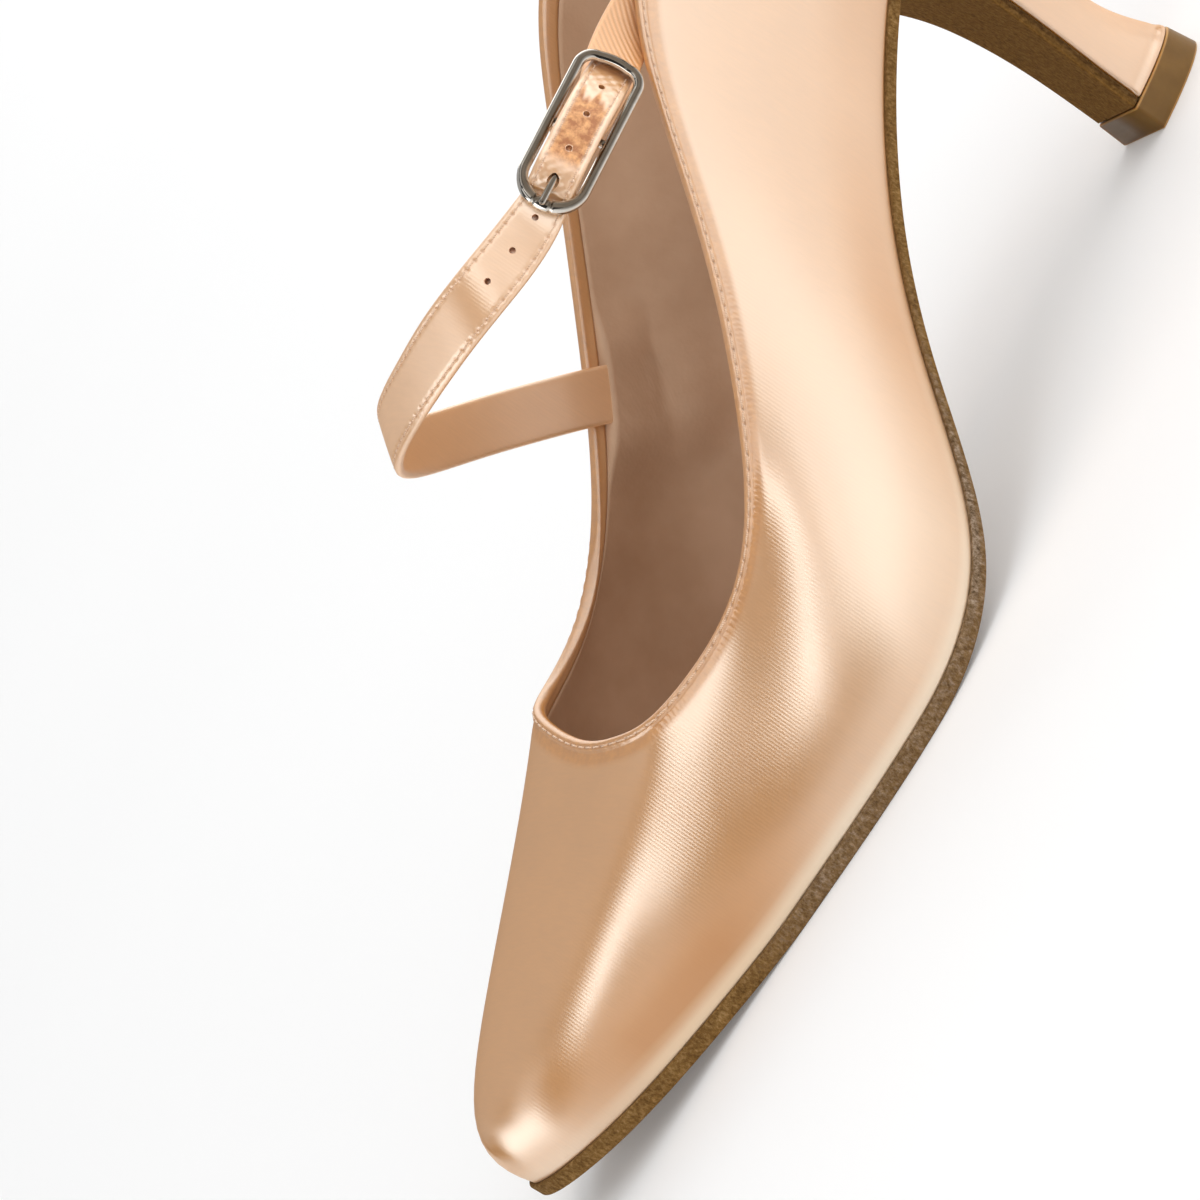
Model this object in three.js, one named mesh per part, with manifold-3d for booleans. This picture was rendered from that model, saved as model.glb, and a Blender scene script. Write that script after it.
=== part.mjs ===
// Left ballroom court shoe in satin with a flared heel, a diagonal strap and a small buckle.
// Millimetres, +Z up, floor at z = 0, toe toward -X, outer side of the foot toward -Y.
import {
  BufferGeometry,
  CylinderGeometry,
  BoxGeometry,
  Float32BufferAttribute,
  Group,
  Matrix4,
  Mesh,
  MeshStandardMaterial,
  Vector3,
} from 'three';
import { mergeVertices } from 'three/addons/utils/BufferGeometryUtils.js';
import Module from 'manifold-3d';

// Driving sizes
const MIDDLE_STATION = 115.3;
const MIDDLE_SIDE = 0.7;
const GAP = 0.3;
const WALL = 1.8;
const SOLE_FOREFOOT = 2.8;
const SOLE_WAIST = 2.0;
const SOLE_RIM = 0.8;
const SOLE_THICKENS = 95;
const SEAT_RIM = 0.4;
const BREAST_LEATHER = 1.8;
const BALL_FLAT_BACK = 150;
const BALL_FLAT_FRONT = 182;
const TOE_STATION = 230;
const TOE_SPRING = 8;
const TOE_SPRING_POWER = 1.6;
const INSOLE_THICK = 2;
const INSOLE_SLACK = 0.4;
const TIP_HEIGHT = 5.6;
const HEEL_SQUARENESS = 0.9;
const STRAP_THICK = 1.4;
const TAB_THICK = 0.9;
const TAB_WIDTH = 8.6;
const STRIP_EDGE = 0.4;
const WIRE_RADIUS = 0.85;
const BAR_RADIUS = 0.7;
const PRONG_RADIUS = 0.55;
const PRONG_SLACK = 0.35;
const LOOP_SLACK = 0.25;

// Facet counts
const HALF_RING = 44;
const WALL_ROWS = 11;
const ACROSS = 4;
const HEEL_ROUND = 24;
const HEEL_STEPS = 16;
const BREAST_STEPS = 20;
const STRAP_STEPS = 56;
const TAB_STEPS = 44;
const TIP_CLOSENESS = 1.3;

// Upper, one row for each section round the shoe. station runs from the heel back to the toe and side is
// positive toward the outer side: first the feather edge, then the topline, then how the wall rises between.
const UPPER_COLUMNS = [
  'station', 'side', 'topStation', 'topSide', 'topHeight', 'rise', 'flare', 'reach', 'drop', 'belly',
];
const UPPER_ROWS = {
  heelBack: [3, 0, 7, 0, 106.5, 24, 5, 0, 20, 2],
  heelCornerOuter: [10, 15, 13.4, 13, 104.4, 22, 5, 0, 19, 2],
  heelOuter: [27, 21, 32.3, 20.9, 98, 18, 4, 0, 16, 2],
  seatOuter: [53, 22, 60.9, 23.2, 92.8, 15, 3.5, 0, 14, 2],
  waistOuter: [82, 25.1, 82.8, 25.5, 81.2, 14, 3.5, 0, 13, 2],
  shankOuter: [111.3, 34.2, 103.8, 28.2, 61.3, 14, 3.5, 0, 12, 2],
  ballOuter: [139.8, 38.6, 127.4, 28.2, 42.6, 15.3, 3.4, 0.15, 9.2, 0],
  vampOuter: [168.8, 28.7, 146.6, 23.4, 33.2, 15.5, 2.7, 0.31, 7.7, -0.4],
  toeOuter: [197.1, 13.7, 163.5, 16.9, 33.5, 15.4, 1.8, 0.41, 9.5, -0.4],
  tipOuter: [219.9, 4.1, 168.2, 8.4, 35.4, 15.9, 3, 0.47, 12.2, -0.3],
  tip: [228.5, -7.9, 168.3, -2.1, 37.3, 19.3, 4.3, 0.58, 14.5, -0.2],
  tipInner: [221.4, -18.4, 164.6, -14.7, 40.2, 19.2, 3.8, 0.55, 13.2, 0],
  toeInner: [203, -28, 157.4, -24.9, 39.6, 18.6, 2.3, 0.45, 9.5, 0],
  vampInner: [178.8, -35.2, 143.2, -27.8, 39.1, 17.3, 3, 0.35, 5.8, 0],
  ballInner: [152, -36.8, 125.2, -28, 46.2, 15, 3.5, 0.15, 9, 0],
  shankInner: [120, -27, 103, -28, 60.9, 14, 3.5, 0, 12, 2],
  waistInner: [88, -17, 80, -25, 79, 14, 3.5, 0, 13, 2],
  seatInner: [53, -19, 57, -23.6, 92.6, 15, 3.5, 0, 14, 2],
  heelInner: [27, -20, 31, -20.5, 97.8, 18, 4, 0, 16, 2],
  heelCornerInner: [10, -15, 13, -12.7, 104.4, 22, 5, 0, 19, 2],
};

// Height of the sole's upper face from the heel seat down the arch to the ball
const ARCH_ROWS = {
  heelBack: [0, 63],
  seatMiddle: [25, 60.3],
  breast: [50, 53],
  archBack: [75, 41.4],
  arch: [100, 25.3],
  archFront: [122, 8.7],
  ballBack: [136, 4],
  ball: [BALL_FLAT_BACK, SOLE_FOREFOOT],
};

// Sole leather turned down the front of the heel
const BREAST_COLUMNS = ['station', 'height', 'outer', 'inner'];
const BREAST_ROWS = {
  turn: [49.5, 51.2, 22.6, 19.8],
  apex: [46, 52.5, 22.2, 19.9],
  roll: [43.6, 52.3, 21.4, 19.8],
  fold: [41.6, 50.4, 19.6, 18.8],
  upper: [40, 47.2, 16.8, 16.4],
  shoulder: [38.5, 42.6, 13.6, 13.5],
  neck: [37.4, 37, 10.9, 10.9],
  high: [36.9, 30, 8.9, 8.9],
  waist: [36.9, 22, 7.6, 7.6],
  low: [37.3, 14, 6.9, 6.9],
  foot: [37.8, TIP_HEIGHT + GAP, 6.7, 6.7],
};

// Heel behind that leather: its back line and half width at the same rows
const HEEL_COLUMNS = ['backStation', 'backHeight', 'half'];
const HEEL_ROWS = {
  fold: [3, 58.8, 20.8],
  upper: [5.4, 53.4, 18],
  shoulder: [10.4, 45.6, 14.2],
  neck: [15.6, 38.2, 11.4],
  high: [20.8, 30.4, 9.2],
  waist: [24.2, 22, 7.7],
  low: [23.9, 14, 7],
  foot: [21.3, TIP_HEIGHT + GAP, 6.8],
};
const HEEL_SEAT_FRONT = 42.6;

// Tread piece under the heel
const TIP_COLUMNS = ['height', 'front', 'back', 'half'];
const TIP_ROWS = {
  tread: [0, 38.2, 20.4, 7.2],
  top: [TIP_HEIGHT, 37.9, 21, 6.8],
};

// Buckle, in its own lengths: along the strap, across it and out from the foot
const BUCKLE_STATION = 98.6;
const BUCKLE_SIDE = 26.2;
const BUCKLE_HEIGHT = 86;
const BUCKLE_ALONG = [0.996, 0.08, 0.02];
const BUCKLE_OUT = [-0.06, 0.95, 0.31];
const FRAME_BACK = -12;
const FRAME_FRONT = 13;
const FRAME_HALF = 4.8;
const FRAME_CORNER = 2.4;
const FRAME_NOSE = 4.4;
const FRAME_BOW = 0.3;
const FRAME_OUT_BACK = 4.05;
const FRAME_OUT_FRONT = 2.85;
const BAR_OUT = 2.7;
const PRONG_OUT = 4.2;
const PRONG_TIP = 13.8;
const HOLE_ALONG = 7;
const HOLE_LENGTH = 8.5;
const SLOT_ALONG = 0.3;
const SLOT_LENGTH = 5.2;
const SLOT_DEPTH = 6;
const LOOP_WIDTH = 6.8;
const LOOP_TURN = 30;

// Strap inside the buckle: along, out and width
const FASTENED_COLUMNS = ['along', 'out', 'width'];
const FASTENED_ROWS = {
  end: [-12.8, 2.2, 6.8],
  backBar: [-11.6, 2.2, 6.9],
  slope: [-8, 3.6, 7.1],
  crestBack: [-3, 5.5, 7.1],
  crest: [0.5, 5.85, 7.1],
  crestFront: [4, 5.4, 7.1],
  hole: [7, 4.2, 7.1],
  dive: [9.2, 2.4, 7.1],
  nose: [11, 1.15, 7.1],
  frontBar: [13, 0.9, 7.6],
};

// Strap beyond the buckle, over the instep and down to the inner quarter
const STRAP_COLUMNS = ['station', 'side', 'height', 'faceStation', 'faceSide', 'faceHeight', 'width'];
const STRAP_ROWS = {
  outer: [117, 26.5, 86.7, 0.18, 0.92, 0.34, 8.6],
  outerFront: [124, 23.8, 87.5, 0.34, 0.84, 0.42, 9],
  shoulder: [131.4, 18.4, 87.9, 0.52, 0.66, 0.54, 9.1],
  instepOuter: [137.8, 9, 86.7, 0.65, 0.36, 0.67, 9.1],
  instep: [141.6, -2, 84.3, 0.71, 0.02, 0.7, 9.1],
  instepInner: [141.2, -12, 80.2, 0.65, -0.4, 0.64, 9.1],
  shoulderInner: [135.8, -20, 74.4, 0.46, -0.74, 0.48, 9],
  inner: [127.4, -24.4, 67, 0.24, -0.92, 0.3, 9],
  innerTop: [119, -25.3, 59, 0.08, -0.98, 0.15, 9],
  innerRoot: [111.6, -25, 51.4, 0, -0.99, 0.06, 9],
  innerEnd: [105.6, -24.7, 44.6, 0, -1, 0, 9],
};

// Buckle tab under the back of the frame: along, out and width
const UNDER_ROWS = {
  belowLoop: [-3.4, 0.9, 7],
  belowFrame: [-7.5, 0.75, 7.2],
};

// Buckle tab from there back inside the outer quarter
const TAB_COLUMNS = ['station', 'side', 'height', 'faceStation', 'faceSide', 'faceHeight', 'width'];
const TAB_ROWS = {
  free: [86.5, 24.6, 86, -0.16, 0.95, 0.24, 8.2],
  collar: [80.5, 22.1, 86, -0.2, 0.97, 0.08, TAB_WIDTH],
  root: [71.5, 21, 85.6, -0.12, 0.98, 0.02, TAB_WIDTH],
  end: [63.5, 20.5, 85, -0.08, 0.99, 0.02, TAB_WIDTH],
};

const wasm = await Module();
wasm.setup();

// Tables and smooth curves through their rows
function tableRows(columns, rows) {
  return Object.values(rows).map((row) => Object.fromEntries(columns.map((name, i) => [name, row[i]])));
}

function splineSlopes(knots, values, closed, startSlope, endSlope) {
  const count = values.length;
  const slopes = values.map(() => 0);
  for (let pass = 0; pass < 120; pass += 1) {
    for (let i = 0; i < count; i += 1) {
      if (!closed && (i === 0 || i === count - 1)) {
        const near = i === 0 ? 1 : count - 2;
        const secant = (values[near] - values[i]) / (knots[near] - knots[i]);
        const given = i === 0 ? startSlope : endSlope;
        slopes[i] = given ?? 1.5 * secant - slopes[near] / 2;
      } else {
        const last = (i + count - 1) % count;
        const next = (i + 1) % count;
        const before = i === 0 ? knots[count] - knots[count - 1] : knots[i] - knots[i - 1];
        const after = knots[i + 1] - knots[i];
        const pull = (after / before) * (values[i] - values[last]) + (before / after) * (values[next] - values[i]);
        slopes[i] = (3 * pull - after * slopes[last] - before * slopes[next]) / (2 * (before + after));
      }
    }
  }
  return slopes;
}

function makeSpline(knots, values, { closed = false, startSlope, endSlope } = {}) {
  const slopes = splineSlopes(knots, values, closed, startSlope, endSlope);
  const spans = knots.length - 1;
  return (at) => {
    const total = knots[spans];
    const t = closed ? ((at % total) + total) % total : Math.min(Math.max(at, knots[0]), total);
    let i = 0;
    while (i < spans - 1 && t >= knots[i + 1]) {
      i += 1;
    }
    const j = (i + 1) % values.length;
    const width = knots[i + 1] - knots[i];
    const s = (t - knots[i]) / width;
    const rest = 1 - s;
    return (1 + 2 * s) * rest * rest * values[i] + s * rest * rest * width * slopes[i]
      + s * s * (3 - 2 * s) * values[j] - s * s * rest * width * slopes[j];
  };
}

function makeColumns(columns, rows, knots, options) {
  const splines = columns.map((name) => makeSpline(knots, rows.map((row) => row[name]), options));
  return (at) => Object.fromEntries(columns.map((name, i) => [name, splines[i](at)]));
}

function chordKnots(points, closed, power) {
  const list = closed ? [...points, points[0]] : points;
  const knots = [0];
  for (let i = 1; i < list.length; i += 1) {
    knots.push(knots[i - 1] + Math.hypot(...list[i].map((value, k) => value - list[i - 1][k])) ** power);
  }
  return knots;
}

const mix = (a, b, share) => a + (b - a) * share;

// Closer steps toward the tight curve of the toe
const towardTip = (share) => 1 - (1 - share) ** TIP_CLOSENESS;

function place(station, side, height) {
  return new Vector3(MIDDLE_STATION - station, MIDDLE_SIDE - side, height);
}

// Sole profile
const archTable = tableRows(['station', 'height'], ARCH_ROWS);
const archHeight = makeSpline(
  archTable.map((row) => row.station),
  archTable.map((row) => row.height),
  { endSlope: 0 },
);

function seatHeight(station) {
  if (station <= BALL_FLAT_BACK) {
    return archHeight(station);
  }
  const spring = Math.max(0, station - BALL_FLAT_FRONT) / (TOE_STATION - BALL_FLAT_FRONT);
  return SOLE_FOREFOOT + TOE_SPRING * spring ** TOE_SPRING_POWER;
}

function soleThickness(station) {
  const share = Math.min(Math.max((station - SOLE_THICKENS) / (BALL_FLAT_BACK - SOLE_THICKENS), 0), 1);
  return mix(SOLE_WAIST, SOLE_FOREFOOT, share * share * (3 - 2 * share));
}

// Rings of the upper
const upperTable = tableRows(UPPER_COLUMNS, UPPER_ROWS);
const upperKnots = chordKnots(upperTable.map((row) => [row.station, row.side]), true, 0.5);
const upperAt = makeColumns(UPPER_COLUMNS, upperTable, upperKnots, { closed: true });
const rowNames = Object.keys(UPPER_ROWS);
const ringAt = (name) => upperKnots[rowNames.indexOf(name)];
const RING_TIP = ringAt('tip');
const RING_END = upperKnots[upperKnots.length - 1];

function featherEdge(t, outward) {
  const step = 0.001;
  const here = upperAt(t);
  const ahead = upperAt(t + step);
  const behind = upperAt(t - step);
  const along = [ahead.station - behind.station, ahead.side - behind.side];
  const length = Math.hypot(along[0], along[1]);
  const normal = [-along[1] / length, along[0] / length];
  return {
    row: here,
    normal,
    station: here.station + normal[0] * outward,
    side: here.side + normal[1] * outward,
  };
}

function upperGuides(t) {
  const edge = featherEdge(t, 0);
  const { row, normal } = edge;
  const foot = place(edge.station, edge.side, seatHeight(edge.station) + GAP);
  const lowStation = edge.station + normal[0] * row.flare;
  const lowSide = edge.side + normal[1] * row.flare;
  const low = place(lowStation, lowSide, foot.z + row.rise);
  const highStation = mix(row.topStation, lowStation, row.reach) + normal[0] * row.belly;
  const highSide = mix(row.topSide, lowSide, row.reach) + normal[1] * row.belly;
  const high = place(highStation, highSide, row.topHeight - row.drop);
  const top = place(row.topStation, row.topSide, row.topHeight);
  return [foot, low, high, top];
}

function upperPoint(t, v) {
  const guides = upperGuides(t);
  const rest = 1 - v;
  const weights = [rest ** 3, 3 * rest * rest * v, 3 * rest * v * v, v ** 3];
  const point = new Vector3();
  guides.forEach((guide, i) => point.addScaledVector(guide, weights[i]));
  return point;
}

function upperNormal(t, v) {
  const step = 0.002;
  const round = upperPoint(t + step, v).sub(upperPoint(t - step, v));
  const rise = upperPoint(t, Math.min(v + step, 1)).sub(upperPoint(t, Math.max(v - step, 0)));
  return rise.cross(round).normalize();
}

function upperInside(t, v) {
  if (v === 0) {
    const edge = featherEdge(t, -WALL);
    return place(edge.station, edge.side, seatHeight(edge.station) + GAP);
  }
  return upperPoint(t, v).addScaledVector(upperNormal(t, v), -WALL);
}

function ringAtStation(station, fromName, toName) {
  let low = ringAt(fromName);
  let high = ringAt(toName);
  for (let pass = 0; pass < 40; pass += 1) {
    const middle = (low + high) / 2;
    if (upperAt(middle).station < station) {
      low = middle;
    } else {
      high = middle;
    }
  }
  return (low + high) / 2;
}

// Closed solids from rings of points
function loft(sections, closed = false) {
  const points = sections.flat();
  const count = sections[0].length;
  const faces = [];
  const last = closed ? sections.length : sections.length - 1;
  for (let i = 0; i < last; i += 1) {
    const here = i * count;
    const next = ((i + 1) % sections.length) * count;
    for (let j = 0; j < count; j += 1) {
      const k = (j + 1) % count;
      faces.push([here + j, next + j, next + k], [here + j, next + k, here + k]);
    }
  }
  if (!closed) {
    const end = (sections.length - 1) * count;
    for (let j = 0; j < count / 2 - 1; j += 1) {
      const k = count - 1 - j;
      faces.push([j, j + 1, k], [j + 1, k - 1, k]);
      faces.push([end + j, end + k, end + j + 1], [end + j + 1, end + k, end + k - 1]);
    }
  }
  return solidGeometry(points, faces);
}

function solidGeometry(points, faces) {
  const raw = new BufferGeometry();
  raw.setAttribute('position', new Float32BufferAttribute(points.flatMap((p) => [p.x, p.y, p.z]), 3));
  raw.setIndex(faces.flat());
  const merged = mergeVertices(raw, 1e-4);
  const index = Array.from(merged.index.array);
  const kept = [];
  for (let i = 0; i < index.length; i += 3) {
    const [a, b, c] = index.slice(i, i + 3);
    if (a !== b && b !== c && c !== a) {
      kept.push(a, b, c);
    }
  }
  merged.setIndex(kept);
  return outwardFacing(merged);
}

function outwardFacing(geometry) {
  const position = geometry.attributes.position;
  const index = Array.from(geometry.index.array);
  const corners = [new Vector3(), new Vector3(), new Vector3()];
  let volume = 0;
  for (let i = 0; i < index.length; i += 3) {
    corners.forEach((corner, k) => corner.fromBufferAttribute(position, index[i + k]));
    volume += corners[0].dot(corners[1].clone().cross(corners[2]));
  }
  if (volume < 0) {
    for (let i = 0; i < index.length; i += 3) {
      [index[i + 1], index[i + 2]] = [index[i + 2], index[i + 1]];
    }
    geometry.setIndex(index);
  }
  return geometry;
}

function toManifold(geometry) {
  const bare = geometry.clone();
  bare.deleteAttribute('normal');
  bare.deleteAttribute('uv');
  const merged = mergeVertices(bare, 1e-4);
  return new wasm.Manifold(new wasm.Mesh({
    numProp: 3,
    vertProperties: Float32Array.from(merged.attributes.position.array),
    triVerts: Uint32Array.from(merged.index.array),
  }));
}

function fromManifold(solid) {
  const mesh = solid.getMesh();
  const geometry = new BufferGeometry();
  geometry.setAttribute('position', new Float32BufferAttribute(Array.from(mesh.vertProperties), 3));
  geometry.setIndex(Array.from(mesh.triVerts));
  return geometry;
}

// Upper: hollow wall, open at the topline and under the foot
function makeUpper() {
  const sections = [];
  for (let i = 0; i < 2 * HALF_RING; i += 1) {
    const t = i <= HALF_RING
      ? mix(0, RING_TIP, towardTip(i / HALF_RING))
      : mix(RING_END, RING_TIP, towardTip(2 - i / HALF_RING));
    const outside = [];
    const inside = [];
    for (let k = 0; k <= WALL_ROWS; k += 1) {
      outside.push(upperPoint(t, k / WALL_ROWS));
      inside.unshift(upperInside(t, k / WALL_ROWS));
    }
    sections.push([...outside, ...inside]);
  }
  return loft(sections, true);
}

// Flat layers under the foot, from an outer edge to an inner edge
function layerSection(outer, inner, top, bottom) {
  const upperRow = [];
  const lowerRow = [];
  for (let j = 0; j <= ACROSS; j += 1) {
    const station = mix(outer.station, inner.station, j / ACROSS);
    const side = mix(outer.side, inner.side, j / ACROSS);
    upperRow.push(place(station, side, top(station)));
    lowerRow.unshift(place(station, side, bottom(station)));
  }
  return [...upperRow, ...lowerRow];
}

function makeInsole() {
  const sections = [];
  const inset = -(WALL + INSOLE_SLACK);
  const bottom = (station) => seatHeight(station) + GAP;
  const top = (station) => bottom(station) + INSOLE_THICK;
  for (let i = 0; i <= HALF_RING; i += 1) {
    const share = towardTip(i / HALF_RING);
    const outer = featherEdge(mix(0, RING_TIP, share), inset);
    const inner = featherEdge(mix(RING_END, RING_TIP, share), inset);
    sections.push(layerSection(outer, inner, top, bottom));
  }
  return loft(sections);
}

// Outsole with its breast, and the heel's front just behind it
const breastTable = tableRows(BREAST_COLUMNS, BREAST_ROWS);
const breastKnots = chordKnots(breastTable.map((row) => [row.station, row.height]), false, 1);
const breastAt = makeColumns(BREAST_COLUMNS, breastTable, breastKnots);
const BREAST_END = breastKnots[breastKnots.length - 1];
const heelTable = tableRows(HEEL_COLUMNS, HEEL_ROWS);
const heelKnots = breastKnots.slice(breastKnots.length - heelTable.length);
const heelAt = makeColumns(HEEL_COLUMNS, heelTable, heelKnots);

// Point behind the leather's face: square to it, and level where the leather ends
function behindBreast(s, depth) {
  const here = breastAt(s);
  const ahead = breastAt(Math.min(s + 0.1, BREAST_END));
  const behind = breastAt(Math.max(s - 0.1, 0));
  const length = Math.hypot(ahead.station - behind.station, ahead.height - behind.height);
  const back = s < BREAST_END
    ? [(ahead.height - behind.height) / length, (behind.station - ahead.station) / length]
    : [-1, 0];
  return { station: here.station + back[0] * depth, height: here.height + back[1] * depth };
}

function makeOutsole() {
  const sections = [];
  const startOuter = ringAt('seatOuter');
  const startInner = ringAt('seatInner');
  const bottom = (station) => seatHeight(station) - soleThickness(station);
  for (let i = HALF_RING; i >= 0; i -= 1) {
    const share = towardTip(i / HALF_RING);
    const outer = featherEdge(mix(startOuter, RING_TIP, share), SOLE_RIM);
    const inner = featherEdge(mix(startInner, RING_TIP, share), SOLE_RIM);
    sections.push(layerSection(outer, inner, seatHeight, bottom));
  }
  for (let i = 0; i <= BREAST_STEPS; i += 1) {
    const s = (BREAST_END * i) / BREAST_STEPS;
    const here = breastAt(s);
    const under = behindBreast(s, BREAST_LEATHER);
    const hidden = [];
    const seen = [];
    for (let j = 0; j <= ACROSS; j += 1) {
      const side = mix(here.outer, -here.inner, j / ACROSS);
      hidden.push(place(under.station, side, under.height));
      seen.unshift(place(here.station, side, here.height));
    }
    sections.push([...hidden, ...seen]);
  }
  return loft(sections);
}

// Half rounds with a flat front, as the heel is cut at any height
function heelSection(front, back, half) {
  const section = [];
  for (let j = 0; j < HEEL_ROUND; j += 1) {
    const angle = Math.PI * (j / (HEEL_ROUND - 1));
    const depth = Math.sin(angle) ** HEEL_SQUARENESS;
    const side = half * Math.sign(Math.cos(angle)) * Math.abs(Math.cos(angle)) ** HEEL_SQUARENESS;
    section.push(place(mix(front.station, back.station, depth), side, mix(front.height, back.height, depth)));
  }
  return section;
}

function makeHeel() {
  const outerFront = ringAtStation(HEEL_SEAT_FRONT, 'heelOuter', 'seatOuter');
  const seat = [];
  for (let j = 0; j < HEEL_ROUND; j += 1) {
    const edge = featherEdge(mix(outerFront, -outerFront, j / (HEEL_ROUND - 1)), SEAT_RIM);
    seat.push(place(edge.station, edge.side, seatHeight(edge.station)));
  }
  const sections = [seat];
  const start = heelKnots[0];
  for (let i = 0; i <= HEEL_STEPS; i += 1) {
    const s = i < HEEL_STEPS ? mix(start, BREAST_END, i / HEEL_STEPS) : BREAST_END;
    const row = heelAt(s);
    const back = { station: row.backStation, height: row.backHeight };
    sections.push(heelSection(behindBreast(s, BREAST_LEATHER + GAP), back, row.half));
  }
  return loft(sections);
}

function makeHeelTip() {
  return loft(tableRows(TIP_COLUMNS, TIP_ROWS).map((row) => heelSection(
    { station: row.front, height: row.height },
    { station: row.back, height: row.height },
    row.half,
  )));
}

// Buckle frame of reference
const buckleOrigin = place(BUCKLE_STATION, BUCKLE_SIDE, BUCKLE_HEIGHT);
const toward = ([station, side, height]) => new Vector3(-station, -side, height);
const buckleAlong = toward(BUCKLE_ALONG).normalize();
const buckleOut = toward(BUCKLE_OUT);
buckleOut.addScaledVector(buckleAlong, -buckleOut.dot(buckleAlong)).normalize();
const buckleAcross = buckleOut.clone().cross(buckleAlong);
const buckleMatrix = new Matrix4().makeBasis(buckleAlong, buckleAcross, buckleOut).setPosition(buckleOrigin);

function onBuckle(along, across, out) {
  return new Vector3(along, across, out).applyMatrix4(buckleMatrix);
}

// Flat strips with softened edges, swept along rows of a table
function stripSection(centre, face, along, width, thick) {
  const across = face.clone().cross(along).normalize();
  const out = along.clone().cross(across).normalize();
  const w = width / 2;
  const h = thick / 2;
  const soft = Math.min(STRIP_EDGE, h * 0.6);
  const corners = [
    [w - soft, h], [soft - w, h], [-w, h - soft], [-w, soft - h],
    [soft - w, -h], [w - soft, -h], [w, soft - h], [w, h - soft],
  ];
  return corners.map(([a, b]) => centre.clone().addScaledVector(across, a).addScaledVector(out, b));
}

function sweepStrip(rows, steps, thick) {
  const columns = ['x', 'y', 'z', 'faceX', 'faceY', 'faceZ', 'width'];
  const knots = chordKnots(rows.map((row) => [row.x, row.y, row.z]), false, 1);
  const at = makeColumns(columns, rows, knots);
  const total = knots[knots.length - 1];
  const sections = [];
  for (let i = 0; i <= steps; i += 1) {
    const s = (total * i) / steps;
    const here = at(s);
    const ahead = at(Math.min(s + 0.05, total));
    const behind = at(Math.max(s - 0.05, 0));
    const along = new Vector3(ahead.x - behind.x, ahead.y - behind.y, ahead.z - behind.z).normalize();
    const face = new Vector3(here.faceX, here.faceY, here.faceZ);
    face.addScaledVector(along, -face.dot(along)).normalize();
    sections.push(stripSection(new Vector3(here.x, here.y, here.z), face, along, here.width, thick));
  }
  return loft(sections);
}

function stripRow(centre, face, width) {
  return { x: centre.x, y: centre.y, z: centre.z, faceX: face.x, faceY: face.y, faceZ: face.z, width };
}

function tableStrip(columns, rows) {
  return tableRows(columns, rows).map((row) => stripRow(
    place(row.station, row.side, row.height),
    toward([row.faceStation, row.faceSide, row.faceHeight]),
    row.width,
  ));
}

function buckleStrip(rows) {
  return tableRows(FASTENED_COLUMNS, rows).map((row) => stripRow(
    onBuckle(row.along, 0, row.out),
    buckleOut,
    row.width,
  ));
}

function makeStrap() {
  const rows = [...buckleStrip(FASTENED_ROWS), ...tableStrip(STRAP_COLUMNS, STRAP_ROWS)];
  const strip = sweepStrip(rows, STRAP_STEPS, STRAP_THICK);
  const holeRadius = PRONG_RADIUS + PRONG_SLACK;
  const cutter = new CylinderGeometry(holeRadius, holeRadius, HOLE_LENGTH, 16);
  cutter.rotateZ(Math.PI / 2);
  cutter.translate(HOLE_ALONG, 0, PRONG_OUT + 0.1);
  cutter.applyMatrix4(buckleMatrix);
  return fromManifold(toManifold(strip).subtract(toManifold(cutter)));
}

// Tab: looped round the centre bar, slotted for the prong
function makeTab() {
  const radius = BAR_RADIUS + LOOP_SLACK + TAB_THICK / 2;
  const loop = [];
  for (let degrees = -150; degrees <= 90; degrees += LOOP_TURN) {
    const angle = (degrees * Math.PI) / 180;
    const centre = onBuckle(radius * Math.cos(angle), 0, BAR_OUT + radius * Math.sin(angle));
    const face = buckleAlong.clone().multiplyScalar(-Math.cos(angle)).addScaledVector(buckleOut, -Math.sin(angle));
    loop.unshift(stripRow(centre, face, LOOP_WIDTH));
  }
  const rows = [...loop, ...buckleStrip(UNDER_ROWS), ...tableStrip(TAB_COLUMNS, TAB_ROWS)];
  const strip = sweepStrip(rows, TAB_STEPS, TAB_THICK);
  const slot = new BoxGeometry(SLOT_LENGTH, 2 * (PRONG_RADIUS + PRONG_SLACK), SLOT_DEPTH);
  slot.translate(SLOT_ALONG, 0, BAR_OUT + 0.4);
  slot.applyMatrix4(buckleMatrix);
  return fromManifold(toManifold(strip).subtract(toManifold(slot)));
}

// Buckle: bent wire frame with a centre bar
function frameOutline() {
  const points = [];
  const arc = (centreAlong, centreAcross, radiusAlong, radiusAcross, from, to, steps) => {
    for (let i = 0; i <= steps; i += 1) {
      const angle = (mix(from, to, i / steps) * Math.PI) / 180;
      points.push([centreAlong + radiusAlong * Math.cos(angle), centreAcross + radiusAcross * Math.sin(angle)]);
    }
  };
  arc(FRAME_FRONT - FRAME_NOSE, 0, FRAME_NOSE, FRAME_HALF, -90, 90, 18);
  points.push([0, FRAME_HALF]);
  arc(FRAME_BACK + FRAME_CORNER, FRAME_HALF - FRAME_CORNER, FRAME_CORNER, FRAME_CORNER, 90, 180, 6);
  points.push([FRAME_BACK - FRAME_BOW, 0]);
  arc(FRAME_BACK + FRAME_CORNER, FRAME_CORNER - FRAME_HALF, FRAME_CORNER, FRAME_CORNER, 180, 270, 6);
  points.push([0, -FRAME_HALF]);
  return points;
}

function frameOut(along) {
  return mix(FRAME_OUT_BACK, FRAME_OUT_FRONT, (along - FRAME_BACK) / (FRAME_FRONT - FRAME_BACK));
}

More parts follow.
